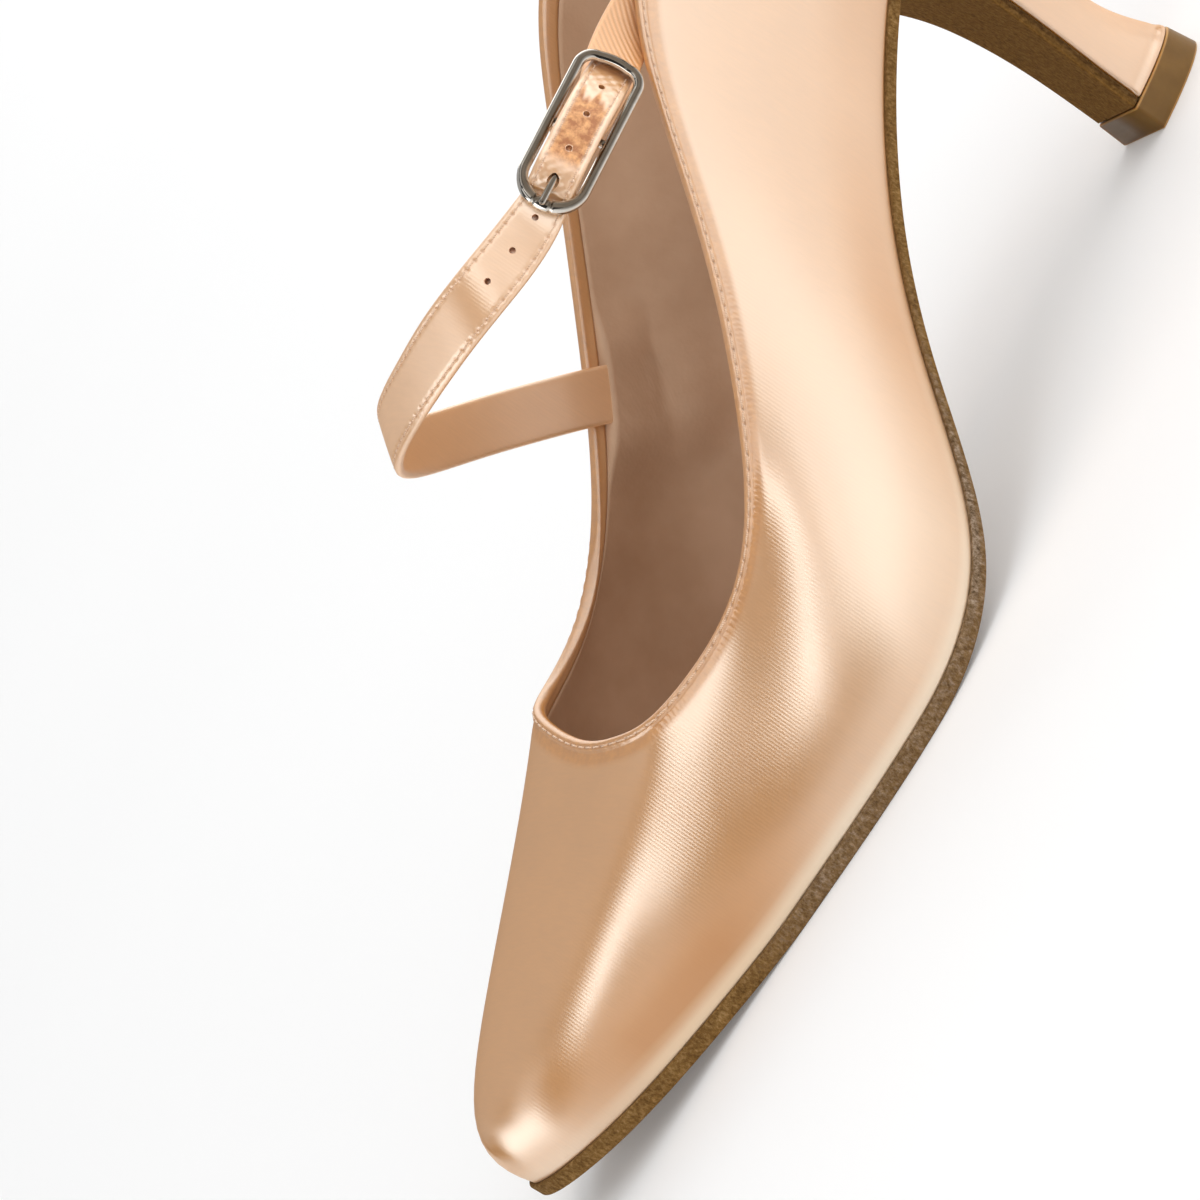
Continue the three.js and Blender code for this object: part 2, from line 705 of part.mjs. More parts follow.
function roundSection(centre, side, up, radius, count) {
  const section = [];
  for (let i = 0; i < count; i += 1) {
    const angle = (2 * Math.PI * (i + 0.5)) / count;
    section.push(centre.clone()
      .addScaledVector(side, radius * Math.cos(angle))
      .addScaledVector(up, radius * Math.sin(angle)));
  }
  return section;
}

function makeFrame() {
  const outline = frameOutline();
  const sections = outline.map(([along, across], i) => {
    const before = outline[(i + outline.length - 1) % outline.length];
    const after = outline[(i + 1) % outline.length];
    const travel = new Vector3(after[0] - before[0], after[1] - before[1], 0).normalize();
    const side = buckleAlong.clone().multiplyScalar(travel.y).addScaledVector(buckleAcross, -travel.x);
    return roundSection(onBuckle(along, across, frameOut(along)), side, buckleOut, WIRE_RADIUS, 10);
  });
  const bar = new CylinderGeometry(BAR_RADIUS, BAR_RADIUS, 2 * FRAME_HALF, 10);
  bar.translate(0, 0, BAR_OUT);
  bar.applyMatrix4(buckleMatrix);
  return fromManifold(toManifold(loft(sections, true)).add(toManifold(bar)));
}

// Prong: curled round the bar, laid on the front of the frame
function makeProng() {
  const radius = BAR_RADIUS + LOOP_SLACK + PRONG_RADIUS;
  const path = [];
  for (let degrees = -150; degrees >= -270; degrees -= LOOP_TURN) {
    const angle = (degrees * Math.PI) / 180;
    path.push([radius * Math.cos(angle), BAR_OUT + radius * Math.sin(angle)]);
  }
  const rest = FRAME_OUT_FRONT + WIRE_RADIUS + LOOP_SLACK + PRONG_RADIUS;
  path.push([4, PRONG_OUT + 0.05], [8.5, PRONG_OUT + 0.15], [FRAME_FRONT - 0.4, rest], [PRONG_TIP, rest - 0.05]);
  const sections = path.map(([along, out], i) => {
    const before = path[Math.max(i - 1, 0)];
    const after = path[Math.min(i + 1, path.length - 1)];
    const travel = new Vector3(after[0] - before[0], 0, after[1] - before[1]).normalize();
    const up = buckleAlong.clone().multiplyScalar(-travel.z).addScaledVector(buckleOut, travel.x);
    const slim = i === path.length - 1 ? 0.7 : 1;
    return roundSection(onBuckle(along, 0, out), buckleAcross, up, PRONG_RADIUS * slim, 8);
  });
  return loft(sections);
}

// Materials
const satin = { color: 0xe0b48c, roughness: 0.42, metalness: 0 };
const suede = { color: 0x6a4a2e, roughness: 0.95, metalness: 0 };
const lining = { color: 0xc9a383, roughness: 0.8, metalness: 0 };
const tread = { color: 0xa67c45, roughness: 0.45, metalness: 0 };
const nickel = { color: 0xb9b7b2, roughness: 0.22, metalness: 1 };

const pieces = [
  ['upper', makeUpper(), satin],
  ['outsole', makeOutsole(), suede],
  ['insole', makeInsole(), lining],
  ['heel', makeHeel(), satin],
  ['heel_tip', makeHeelTip(), tread],
  ['strap', makeStrap(), satin],
  ['buckle_tab', makeTab(), satin],
  ['buckle_frame', makeFrame(), nickel],
  ['buckle_prong', makeProng(), nickel],
];

const shoe = new Group();
shoe.name = 'dance_shoe';
pieces.forEach(([name, geometry, look]) => {
  geometry.computeVertexNormals();
  const mesh = new Mesh(geometry, new MeshStandardMaterial(look));
  mesh.name = name;
  shoe.add(mesh);
});

export default shoe;
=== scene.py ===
"""Looks of a left ballroom court shoe: satin upper and heel, suede sole, instep strap and nickel buckle."""

import math

import bmesh
import bpy
import numpy as np
from mathutils import Matrix


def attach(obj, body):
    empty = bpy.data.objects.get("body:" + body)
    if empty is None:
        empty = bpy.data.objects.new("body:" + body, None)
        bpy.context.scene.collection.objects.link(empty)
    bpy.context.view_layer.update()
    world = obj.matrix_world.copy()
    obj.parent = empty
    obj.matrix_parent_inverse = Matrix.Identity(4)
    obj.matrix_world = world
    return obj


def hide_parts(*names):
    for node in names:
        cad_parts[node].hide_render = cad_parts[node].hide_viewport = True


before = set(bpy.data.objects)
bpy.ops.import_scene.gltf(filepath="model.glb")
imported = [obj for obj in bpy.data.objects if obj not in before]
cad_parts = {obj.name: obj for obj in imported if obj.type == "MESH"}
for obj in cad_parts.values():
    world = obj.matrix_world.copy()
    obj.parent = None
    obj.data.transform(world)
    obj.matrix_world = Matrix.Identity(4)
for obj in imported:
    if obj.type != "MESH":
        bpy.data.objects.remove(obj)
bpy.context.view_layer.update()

# The shoe's own lengths are millimetres: station from the heel back to the toe, side toward the outer
# side, height above the floor. The frame is in metres.
MM = 0.001
MIDDLE_STATION = 115.3
MIDDLE_SIDE = 0.7
GAP = 0.3
WALL = 1.8
SOLE_FOREFOOT = 2.8
SOLE_WAIST = 2.0
SOLE_RIM = 0.8
SOLE_THICKENS = 95
SOLE_CORNER = 0.45
SEAT_RIM = 0.4
BREAST_LEATHER = 1.8
BALL_FLAT_BACK = 150
BALL_FLAT_FRONT = 182
TOE_STATION = 230
TOE_SPRING = 8
TOE_SPRING_POWER = 1.6
INSOLE_THICK = 2
INSOLE_SLACK = 0.4
TIP_HEIGHT = 5.6
HEEL_SQUARENESS = 0.9
HEEL_SEAT_FRONT = 42.6
STRAP_THICK = 1.4
TAB_THICK = 0.9
TAB_WIDTH = 8.6
WIRE_RADIUS = 0.85
BAR_RADIUS = 0.7
PRONG_RADIUS = 0.55
PRONG_SLACK = 0.35
LOOP_SLACK = 0.25
TIP_CLOSENESS = 1.3

# Upper, one row for each section round the shoe: station and side of the feather edge; station, side
# and height of the topline; rise and flare of the wall's low guide, reach, drop and belly of its high one
UPPER_ROWS = {
    "heelBack": [3, 0, 7, 0, 106.5, 24, 5, 0, 20, 2],
    "heelCornerOuter": [10, 15, 13.4, 13, 104.4, 22, 5, 0, 19, 2],
    "heelOuter": [27, 21, 32.3, 20.9, 98, 18, 4, 0, 16, 2],
    "seatOuter": [53, 22, 60.9, 23.2, 92.8, 15, 3.5, 0, 14, 2],
    "waistOuter": [82, 25.1, 82.8, 25.5, 81.2, 14, 3.5, 0, 13, 2],
    "shankOuter": [111.3, 34.2, 103.8, 28.2, 61.3, 14, 3.5, 0, 12, 2],
    "ballOuter": [139.8, 38.6, 127.4, 28.2, 42.6, 15.3, 3.4, 0.15, 9.2, 0],
    "vampOuter": [168.8, 28.7, 146.6, 23.4, 33.2, 15.5, 2.7, 0.31, 7.7, -0.4],
    "toeOuter": [197.1, 13.7, 163.5, 16.9, 33.5, 15.4, 1.8, 0.41, 9.5, -0.4],
    "tipOuter": [219.9, 4.1, 168.2, 8.4, 35.4, 15.9, 3, 0.47, 12.2, -0.3],
    "tip": [228.5, -7.9, 168.3, -2.1, 37.3, 19.3, 4.3, 0.58, 14.5, -0.2],
    "tipInner": [221.4, -18.4, 164.6, -14.7, 40.2, 19.2, 3.8, 0.55, 13.2, 0],
    "toeInner": [203, -28, 157.4, -24.9, 39.6, 18.6, 2.3, 0.45, 9.5, 0],
    "vampInner": [178.8, -35.2, 143.2, -27.8, 39.1, 17.3, 3, 0.35, 5.8, 0],
    "ballInner": [152, -36.8, 125.2, -28, 46.2, 15, 3.5, 0.15, 9, 0],
    "shankInner": [120, -27, 103, -28, 60.9, 14, 3.5, 0, 12, 2],
    "waistInner": [88, -17, 80, -25, 79, 14, 3.5, 0, 13, 2],
    "seatInner": [53, -19, 57, -23.6, 92.6, 15, 3.5, 0, 14, 2],
    "heelInner": [27, -20, 31, -20.5, 97.8, 18, 4, 0, 16, 2],
    "heelCornerInner": [10, -15, 13, -12.7, 104.4, 22, 5, 0, 19, 2],
}

# Sole's upper face: station, height
ARCH_ROWS = [
    [0, 63], [25, 60.3], [50, 53], [75, 41.4], [100, 25.3], [122, 8.7], [136, 4],
    [BALL_FLAT_BACK, SOLE_FOREFOOT],
]

# Sole leather turned down the front of the heel: station, height, outer and inner half width
BREAST_ROWS = {
    "turn": [49.5, 51.2, 22.6, 19.8],
    "apex": [46, 52.5, 22.2, 19.9],
    "roll": [43.6, 52.3, 21.4, 19.8],
    "fold": [41.6, 50.4, 19.6, 18.8],
    "upper": [40, 47.2, 16.8, 16.4],
    "shoulder": [38.5, 42.6, 13.6, 13.5],
    "neck": [37.4, 37, 10.9, 10.9],
    "high": [36.9, 30, 8.9, 8.9],
    "waist": [36.9, 22, 7.6, 7.6],
    "low": [37.3, 14, 6.9, 6.9],
    "foot": [37.8, TIP_HEIGHT + GAP, 6.7, 6.7],
}

# Heel: station and height of its back line, half width
HEEL_ROWS = {
    "fold": [3, 58.8, 20.8],
    "upper": [5.4, 53.4, 18],
    "shoulder": [10.4, 45.6, 14.2],
    "neck": [15.6, 38.2, 11.4],
    "high": [20.8, 30.4, 9.2],
    "waist": [24.2, 22, 7.7],
    "low": [23.9, 14, 7],
    "foot": [21.3, TIP_HEIGHT + GAP, 6.8],
}

# Tread piece: height, front, back, half width
TIP_ROWS = {"tread": [0, 38.2, 20.4, 7.2], "top": [TIP_HEIGHT, 37.9, 21, 6.8]}

# Buckle, in its own lengths: along the strap, across it and out from the foot
BUCKLE_PLACE = (98.6, 26.2, 86)
BUCKLE_ALONG = (0.996, 0.08, 0.02)
BUCKLE_OUT = (-0.06, 0.95, 0.31)
FRAME_BACK = -12
FRAME_FRONT = 13
FRAME_HALF = 4.8
FRAME_CORNER = 2.4
FRAME_NOSE = 4.4
FRAME_BOW = 0.3
FRAME_OUT_BACK = 4.05
FRAME_OUT_FRONT = 2.85
BAR_OUT = 2.7
PRONG_OUT = 4.2
PRONG_TIP = 13.8
HOLE_ALONG = 7
HOLE_LENGTH = 8.5
LOOP_WIDTH = 6.8
LOOP_TURN = 30

# Strap inside the buckle: along, out, width
FASTENED_ROWS = {
    "end": [-12.8, 2.2, 6.8],
    "backBar": [-11.6, 2.2, 6.9],
    "slope": [-8, 3.6, 7.1],
    "crestBack": [-3, 5.5, 7.1],
    "crest": [0.5, 5.85, 7.1],
    "crestFront": [4, 5.4, 7.1],
    "hole": [7, 4.2, 7.1],
    "dive": [9.2, 2.4, 7.1],
    "nose": [11, 1.15, 7.1],
    "frontBar": [13, 0.9, 7.6],
}

# Strap over the instep: station, side, height, the three parts of its facing, width
STRAP_ROWS = {
    "outer": [117, 26.5, 86.7, 0.18, 0.92, 0.34, 8.6],
    "outerFront": [124, 23.8, 87.5, 0.34, 0.84, 0.42, 9],
    "shoulder": [131.4, 18.4, 87.9, 0.52, 0.66, 0.54, 9.1],
    "instepOuter": [137.8, 9, 86.7, 0.65, 0.36, 0.67, 9.1],
    "instep": [141.6, -2, 84.3, 0.71, 0.02, 0.7, 9.1],
    "instepInner": [141.2, -12, 80.2, 0.65, -0.4, 0.64, 9.1],
    "shoulderInner": [135.8, -20, 74.4, 0.46, -0.74, 0.48, 9],
    "inner": [127.4, -24.4, 67, 0.24, -0.92, 0.3, 9],
    "innerTop": [119, -25.3, 59, 0.08, -0.98, 0.15, 9],
    "innerRoot": [111.6, -25, 51.4, 0, -0.99, 0.06, 9],
    "innerEnd": [105.6, -24.7, 44.6, 0, -1, 0, 9],
}

# Buckle tab under the frame as in the buckle, then inside the outer quarter as over the instep
UNDER_ROWS = {"belowLoop": [-3.4, 0.9, 7], "belowFrame": [-7.5, 0.75, 7.2]}
TAB_ROWS = {
    "free": [86.5, 24.6, 86, -0.16, 0.95, 0.24, 8.2],
    "collar": [80.5, 22.1, 86, -0.2, 0.97, 0.08, TAB_WIDTH],
    "root": [71.5, 21, 85.6, -0.12, 0.98, 0.02, TAB_WIDTH],
    "end": [63.5, 20.5, 85, -0.08, 0.99, 0.02, TAB_WIDTH],
}


# Curves through tables
def mix(a, b, share):
    return a + (b - a) * share


def unit(vectors):
    return vectors / np.linalg.norm(vectors, axis=-1, keepdims=True)


def smooth(low, high, value):
    """0 below low, 1 above high, with soft ends."""
    share = np.clip((value - low) / (high - low), 0, 1)
    return share * share * (3 - 2 * share)


def hump(value, middle, width):
    return np.exp(-(((value - middle) / width) ** 2))


class Spline:
    """Cubic curve through rows of values, closed or with free ends; end_slope holds the last slope."""

    def __init__(self, knots, values, closed=False, end_slope=None):
        self.knots = np.asarray(knots, float)
        self.values = np.asarray(values, float)
        self.closed = closed
        self.slopes = self._solve(end_slope)

    def _solve(self, end_slope):
        count = len(self.values)
        steps = np.diff(self.knots)
        matrix = np.zeros((count, count))
        right = np.zeros_like(self.values)
        for i in range(count):
            if not self.closed and i in (0, count - 1):
                near = 1 if i == 0 else count - 2
                matrix[i, i] = 1
                if i and end_slope is not None:
                    right[i] = end_slope
                else:
                    secant = (self.values[near] - self.values[i]) / (self.knots[near] - self.knots[i])
                    matrix[i, near] = 0.5
                    right[i] = 1.5 * secant
                continue
            before, after = steps[i - 1], steps[i]
            last, following = (i - 1) % count, (i + 1) % count
            matrix[i, i] = 2 * (before + after)
            matrix[i, last] += after
            matrix[i, following] += before
            rise = (after / before) * (self.values[i] - self.values[last])
            right[i] = 3 * (rise + (before / after) * (self.values[following] - self.values[i]))
        return np.linalg.solve(matrix, right)

    def __call__(self, at):
        at = np.asarray(at, float)
        total = self.knots[-1]
        t = at % total if self.closed else np.clip(at, self.knots[0], total)
        i = np.clip(np.searchsorted(self.knots, t, side="right") - 1, 0, len(self.knots) - 2)
        j = (i + 1) % len(self.values)
        width = self.knots[i + 1] - self.knots[i]
        s = (t - self.knots[i]) / width
        if self.values.ndim > 1:
            s, width = s[..., None], width[..., None]
        rest = 1 - s
        start = (1 + 2 * s) * rest * rest * self.values[i] + s * rest * rest * width * self.slopes[i]
        return start + s * s * (3 - 2 * s) * self.values[j] - s * s * rest * width * self.slopes[j]


def travelled(points, closed=False, power=1.0):
    """Distance along a row of points, with each step raised to a power."""
    points = np.asarray(points, float)
    if closed:
        points = np.vstack([points, points[:1]])
    lengths = np.linalg.norm(np.diff(points, axis=0), axis=1) ** power
    return np.concatenate([[0], np.cumsum(lengths)])


def toward_tip(share):
    return 1 - (1 - share) ** TIP_CLOSENESS


def place(station, side, height):
    station, side, height = np.broadcast_arrays(station, side, height)
    return np.stack([MIDDLE_STATION - station, MIDDLE_SIDE - side, height], axis=-1).astype(float)


# Sole profile
arch_table = np.array(ARCH_ROWS, float)
arch_height = Spline(arch_table[:, 0], arch_table[:, 1], end_slope=0)


def seat_height(station):
    spring = np.maximum(0, station - BALL_FLAT_FRONT) / (TOE_STATION - BALL_FLAT_FRONT)
    toe = SOLE_FOREFOOT + TOE_SPRING * spring**TOE_SPRING_POWER
    return np.where(np.asarray(station) <= BALL_FLAT_BACK, arch_height(station), toe)


def sole_thickness(station):
    return mix(SOLE_WAIST, SOLE_FOREFOOT, smooth(SOLE_THICKENS, BALL_FLAT_BACK, station))


# Upper's surface: ring runs round the shoe from the heel back by the outer side, v from feather edge
# to topline
upper_table = np.array(list(UPPER_ROWS.values()), float)
upper_knots = travelled(upper_table[:, :2], closed=True, power=0.5)
upper_row = Spline(upper_knots, upper_table, closed=True)
row_names = list(UPPER_ROWS)
RING_END = upper_knots[-1]


def ring_at(name):
    return upper_knots[row_names.index(name)]


RING_TIP = ring_at("tip")


def feather(ring, outward=0.0):
    """Rows, plan normals and the feather edge moved outward, as station and side."""
    step = 0.001
    rows = upper_row(ring)
    along = upper_row(ring + step)[..., :2] - upper_row(ring - step)[..., :2]
    normal = unit(np.stack([-along[..., 1], along[..., 0]], axis=-1))
    return rows, normal, rows[..., :2] + normal * outward


def upper_guides(ring):
    rows, normal, edge = feather(ring)
    top, top_height = rows[..., 2:4], rows[..., 4]
    rise, flare, reach, drop, belly = (rows[..., k, None] for k in range(5, 10))
    foot_height = seat_height(edge[..., 0]) + GAP
    low = edge + normal * flare
    high = mix(top, low, reach) + normal * belly
    return np.stack([
        place(edge[..., 0], edge[..., 1], foot_height),
        place(low[..., 0], low[..., 1], foot_height + rise[..., 0]),
        place(high[..., 0], high[..., 1], top_height - drop[..., 0]),
        place(top[..., 0], top[..., 1], top_height),
    ], axis=-2)


def upper_point(ring, v):
    """Points of the outer face; ring and v have the same shape."""
    rest = 1 - v
    weights = np.stack([rest**3, 3 * rest**2 * v, 3 * rest * v**2, v**3], axis=-1)
    return np.einsum("...g,...gk->...k", weights, upper_guides(ring))


def upper_normal(ring, v):
    step = 0.002
    around = upper_point(ring + step, v) - upper_point(ring - step, v)
    rise = upper_point(ring, np.minimum(v + step, 1)) - upper_point(ring, np.maximum(v - step, 0))
    return unit(np.cross(rise, around))


SECTION_SAMPLES = np.linspace(1, 0, 61)


def section_lengths(ring):
    """Distance down each section from the topline, at SECTION_SAMPLES."""
    rings, vs = np.meshgrid(ring, SECTION_SAMPLES, indexing="ij")
    points = upper_point(rings, vs)
    steps = np.linalg.norm(np.diff(points, axis=1), axis=-1)
    return np.concatenate([np.zeros((len(ring), 1)), np.cumsum(steps, axis=1)], axis=1)


def v_at_depth(ring, depth):
    """v at each depth below the topline; depth has a row for each ring place."""
    lengths = section_lengths(ring)
    return np.stack([np.interp(d, row, SECTION_SAMPLES) for d, row in zip(depth, lengths)])


# Breast and heel
breast_table = np.array(list(BREAST_ROWS.values()), float)
breast_knots = travelled(breast_table[:, :2])
breast_row = Spline(breast_knots, breast_table)
BREAST_END = breast_knots[-1]
heel_table = np.array(list(HEEL_ROWS.values()), float)
heel_knots = breast_knots[-len(heel_table):]
heel_row = Spline(heel_knots, heel_table)


def behind_breast(s, depth):
    """Station and height at a depth behind the leather's face, level where the leather ends."""
    step = 0.1
    here = breast_row(s)
    along = breast_row(np.minimum(s + step, BREAST_END)) - breast_row(np.maximum(s - step, 0))
    back = unit(np.stack([along[..., 1], -along[..., 0]], axis=-1))
    back = np.where((s >= BREAST_END)[..., None], [-1.0, 0.0], back)
    return here[..., :2] + back * depth


def heel_section(front, back, half):
    """Half rounds with a flat front; front and back are station and height for each row."""
    angle = np.linspace(0, math.pi, HEEL_AROUND)
    depth = np.sin(angle) ** HEEL_SQUARENESS
    across = np.sign(np.cos(angle)) * np.abs(np.cos(angle)) ** HEEL_SQUARENESS
    middle = mix(front[:, None, :], back[:, None, :], depth[None, :, None])
    return place(middle[..., 0], half[:, None] * across, middle[..., 1])


# Buckle's own axes
def toward(station, side, height):
    return np.array([-station, -side, height], float)


buckle_origin = place(*BUCKLE_PLACE)
buckle_along = unit(toward(*BUCKLE_ALONG))
buckle_out = toward(*BUCKLE_OUT)
buckle_out = unit(buckle_out - buckle_along * buckle_out.dot(buckle_along))
buckle_across = np.cross(buckle_out, buckle_along)


def on_buckle(along, across, out):
    along, across, out = (np.asarray(part, float)[..., None] for part in (along, across, out))
    return buckle_origin + along * buckle_along + across * buckle_across + out * buckle_out


# Flat strips: the strap and the buckle tab
def strip_rows(table):
    rows = np.array(list(table.values()), float)
    centres = place(rows[:, 0], rows[:, 1], rows[:, 2])
    faces = np.stack([-rows[:, 3], -rows[:, 4], rows[:, 5]], axis=-1)
    return np.concatenate([centres, faces, rows[:, 6:7]], axis=1)


def buckle_rows(table):
    rows = np.array(list(table.values()), float)
    centres = on_buckle(rows[:, 0], 0 * rows[:, 0], rows[:, 1])
    faces = np.broadcast_to(buckle_out, centres.shape)
    return np.concatenate([centres, faces, rows[:, 2:3]], axis=1)


class Strip:
    """Flat strip along rows of centre, facing and width."""

    def __init__(self, rows):
        knots = travelled(rows[:, :3])
        self.curve = Spline(knots, rows)
        self.length = knots[-1]

    def frame(self, s):
        step = 0.05
        here = self.curve(s)
        along = self.curve(np.minimum(s + step, self.length)) - self.curve(np.maximum(s - step, 0))
        along = unit(along[..., :3])
        face = here[..., 3:6]
        face = unit(face - along * np.sum(face * along, axis=-1, keepdims=True))
        across = unit(np.cross(face, along))
        return here[..., :3], along, across, np.cross(along, across), here[..., 6]

    def point(self, s, across, out):
        centre, _, side, face, _ = self.frame(s)
        return centre + side * np.asarray(across)[..., None] + face * np.asarray(out)[..., None]


def tab_rows():
    radius = BAR_RADIUS + LOOP_SLACK + TAB_THICK / 2
    angle = np.radians(np.arange(90, -151, -LOOP_TURN))
    centres = on_buckle(radius * np.cos(angle), 0 * angle, BAR_OUT + radius * np.sin(angle))
    faces = -np.cos(angle)[:, None] * buckle_along - np.sin(angle)[:, None] * buckle_out
    loop = np.concatenate([centres, faces, np.full((len(angle), 1), LOOP_WIDTH)], axis=1)
    return np.concatenate([loop, buckle_rows(UNDER_ROWS), strip_rows(TAB_ROWS)])


strap = Strip(np.concatenate([buckle_rows(FASTENED_ROWS), strip_rows(STRAP_ROWS)]))
tab = Strip(tab_rows())


# Mesh building
def make_piece(name, points, faces, material, marks=None):
    """Mesh object from points in millimetres; marks are named values for each point."""
    mesh = bpy.data.meshes.new(name)
    mesh.from_pydata((np.asarray(points).reshape(-1, 3) * MM).tolist(), [], faces)
    mesh.validate()
    for mark, values in (marks or {}).items():
        layer = mesh.attributes.new(mark, "FLOAT", "POINT")
        layer.data.foreach_set("value", np.asarray(values, np.float32).ravel())
    mesh.polygons.foreach_set("use_smooth", [True] * len(mesh.polygons))
    mesh.materials.append(material)
    piece = bpy.data.objects.new(name, mesh)
    bpy.context.scene.collection.objects.link(piece)
    return piece


def finish_piece(piece, slot, *nodes):
    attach(piece, "root")
    if nodes:
        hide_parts(*nodes)


def grid_faces(rows, columns, start=0, wrap_rows=False, wrap_columns=False, flip=False):
    faces = []
    for i in range(rows if wrap_rows else rows - 1):
        here, ahead = start + i * columns, start + (i + 1) % rows * columns
        for j in range(columns if wrap_columns else columns - 1):
            k = (j + 1) % columns
            face = (here + j, ahead + j, ahead + k, here + k)
            faces.append(face[::-1] if flip else face)
    return faces


def cap_faces(start, count, flip=False):
    """Quads across a ring of points whose two halves face each other."""
    faces = []
    for j in range(count // 2 - 1):
        k = count - 1 - j
        face = (start + j, start + j + 1, start + k - 1, start + k)
        faces.append(face[::-1] if flip else face)
    return faces


def loft_faces(sections, count):
    last = (sections - 1) * count
    faces = grid_faces(sections, count, wrap_columns=True)
    return faces + cap_faces(0, count) + cap_faces(last, count, flip=True)


def join_parts(parts):
    """One list of points and faces from several."""
    points, faces = [], []
    shift = 0
    for part_points, part_faces in parts:
        points.append(part_points.reshape(-1, 3))
        faces += [tuple(shift + k for k in face) for face in part_faces]
        shift += len(points[-1])
    return np.concatenate(points), faces


def rounds(side, up, around):
    """Circles of unit radius from side and up directions."""
    angle = np.linspace(0, 2 * np.pi, around, endpoint=False)[None, :, None]
    return np.cos(angle) * side[:, None, :] + np.sin(angle) * up[:, None, :]


def tube(path, side, up, radius, around, closed):
    """Round wire along a path with its own side and up directions."""
    radius = np.broadcast_to(radius, len(path))[:, None, None]
    points = path[:, None, :] + radius * rounds(side, up, around)
    if closed:
        return points, grid_faces(len(path), around, wrap_rows=True, wrap_columns=True)
    faces = grid_faces(len(path), around, wrap_columns=True)
    last = (len(path) - 1) * around
    return points, faces + [tuple(range(around)), tuple(last + around - 1 - k for k in range(around))]


def outward(piece):
    """Turns every face outward and joins points that coincide."""
    work = bmesh.new()
    work.from_mesh(piece.data)
    bmesh.ops.remove_doubles(work, verts=work.verts, dist=0.002 * MM)
    bmesh.ops.dissolve_degenerate(work, dist=0.002 * MM, edges=work.edges)
    bmesh.ops.recalc_face_normals(work, faces=work.faces)
    work.to_mesh(piece.data)
    work.free()
    piece.data.polygons.foreach_set("use_smooth", [True] * len(piece.data.polygons))
    return piece


def add_piece(name, slot, nodes, points, faces, material, marks=None):
    """One piece of the shoe, put under the root and hiding the nodes that it stands for; slot is not used.
    """
    finish_piece(outward(make_piece(name, points, faces, material, marks)), slot, *nodes)


# Materials
class Shading:
    """New material with helpers that add nodes to it; grains, pitches and depths are in millimetres."""

    def __init__(self, name):
        self.material = bpy.data.materials.new(name)
        self.material.use_nodes = True
        self.nodes = self.material.node_tree.nodes
        self.shader = next(node for node in self.nodes if node.type == "BSDF_PRINCIPLED")

    def fill(self, node, sockets):
        """Gives each socket a link or a value of its own."""
        for key, value in sockets.items():
            if isinstance(value, bpy.types.NodeSocket):
                self.material.node_tree.links.new(value, node.inputs[key])
            else:
                node.inputs[key].default_value = value

    def add(self, kind, output, sockets, **settings):
        node = self.nodes.new("ShaderNode" + kind)
        for name, value in settings.items():
            setattr(node, name, value)
        self.fill(node, sockets)
        return node.outputs[output]

    def finish(self, sockets):
        self.fill(self.shader, sockets)
        return self.material

    def frame(self, turn=(0, 0, 0), scale=(1, 1, 1)):
        """Frame coordinates, turned and scaled."""
        source = self.add("TexCoord", "Object", {})
        angles = [math.radians(angle) for angle in turn]
        return self.add("Mapping", "Vector", {"Vector": source, "Rotation": angles, "Scale": scale})

    def noise(self, vector, grain, detail=4.0, roughness=0.55):
        sockets = {"Vector": vector, "Scale": 1 / (grain * MM), "Detail": detail, "Roughness": roughness}
        return self.add("TexNoise", "Fac", sockets)

    def bands(self, vector, pitch, distortion=0.0, detail_scale=1.0):
        """Straight bands along X; the wave texture has 20 / (2 pi) of them for each unit of scale."""
        sockets = {"Vector": vector, "Scale": 2 * math.pi / (20 * pitch * MM), "Distortion": distortion}
        sockets.update({"Detail": 2.0, "Detail Scale": detail_scale})
        return self.add("TexWave", "Fac", sockets, wave_type="BANDS", bands_direction="X")

    def ramp(self, value, stops):
        """Colour ramp with stops of place and colour."""
        node = self.nodes.new("ShaderNodeValToRGB")
        elements = node.color_ramp.elements
        while len(elements) < len(stops):
            elements.new(0.5)
        for element, (at, colour) in zip(elements, stops):
            element.position = at
            element.color = (*colour, 1)
        self.fill(node, {"Fac": value})
        return node.outputs["Color"]

    def remap(self, value, low, high):
        return self.add("MapRange", "Result", {"Value": value, "To Min": low, "To Max": high})

    def blend(self, kind, share, first, second):
        """Colour between a linked one and a linked or fixed one."""
        second = (*second, 1) if isinstance(second, tuple) else second
        return self.add("Mix", 2, {0: share, 6: first, 7: second}, data_type="RGBA", blend_type=kind)

    def blend_value(self, share, first, second):
        return self.add("Mix", 0, {0: share, 2: first, 3: second})

    def larger(self, first, second):
        return self.add("Math", 0, {0: first, 1: second}, operation="MAXIMUM")

    def bump(self, height, depth, strength, below=None):
        """Bump laid on another one."""
        sockets = {"Height": height, "Strength": strength, "Distance": depth * MM}
        if below is not None:
            sockets["Normal"] = below
        return self.add("Bump", "Normal", sockets)

    def mark(self, name):
        """A mesh's own value; 0 where it has none of that name."""
        return self.add("Attribute", "Fac", {}, attribute_name=name)


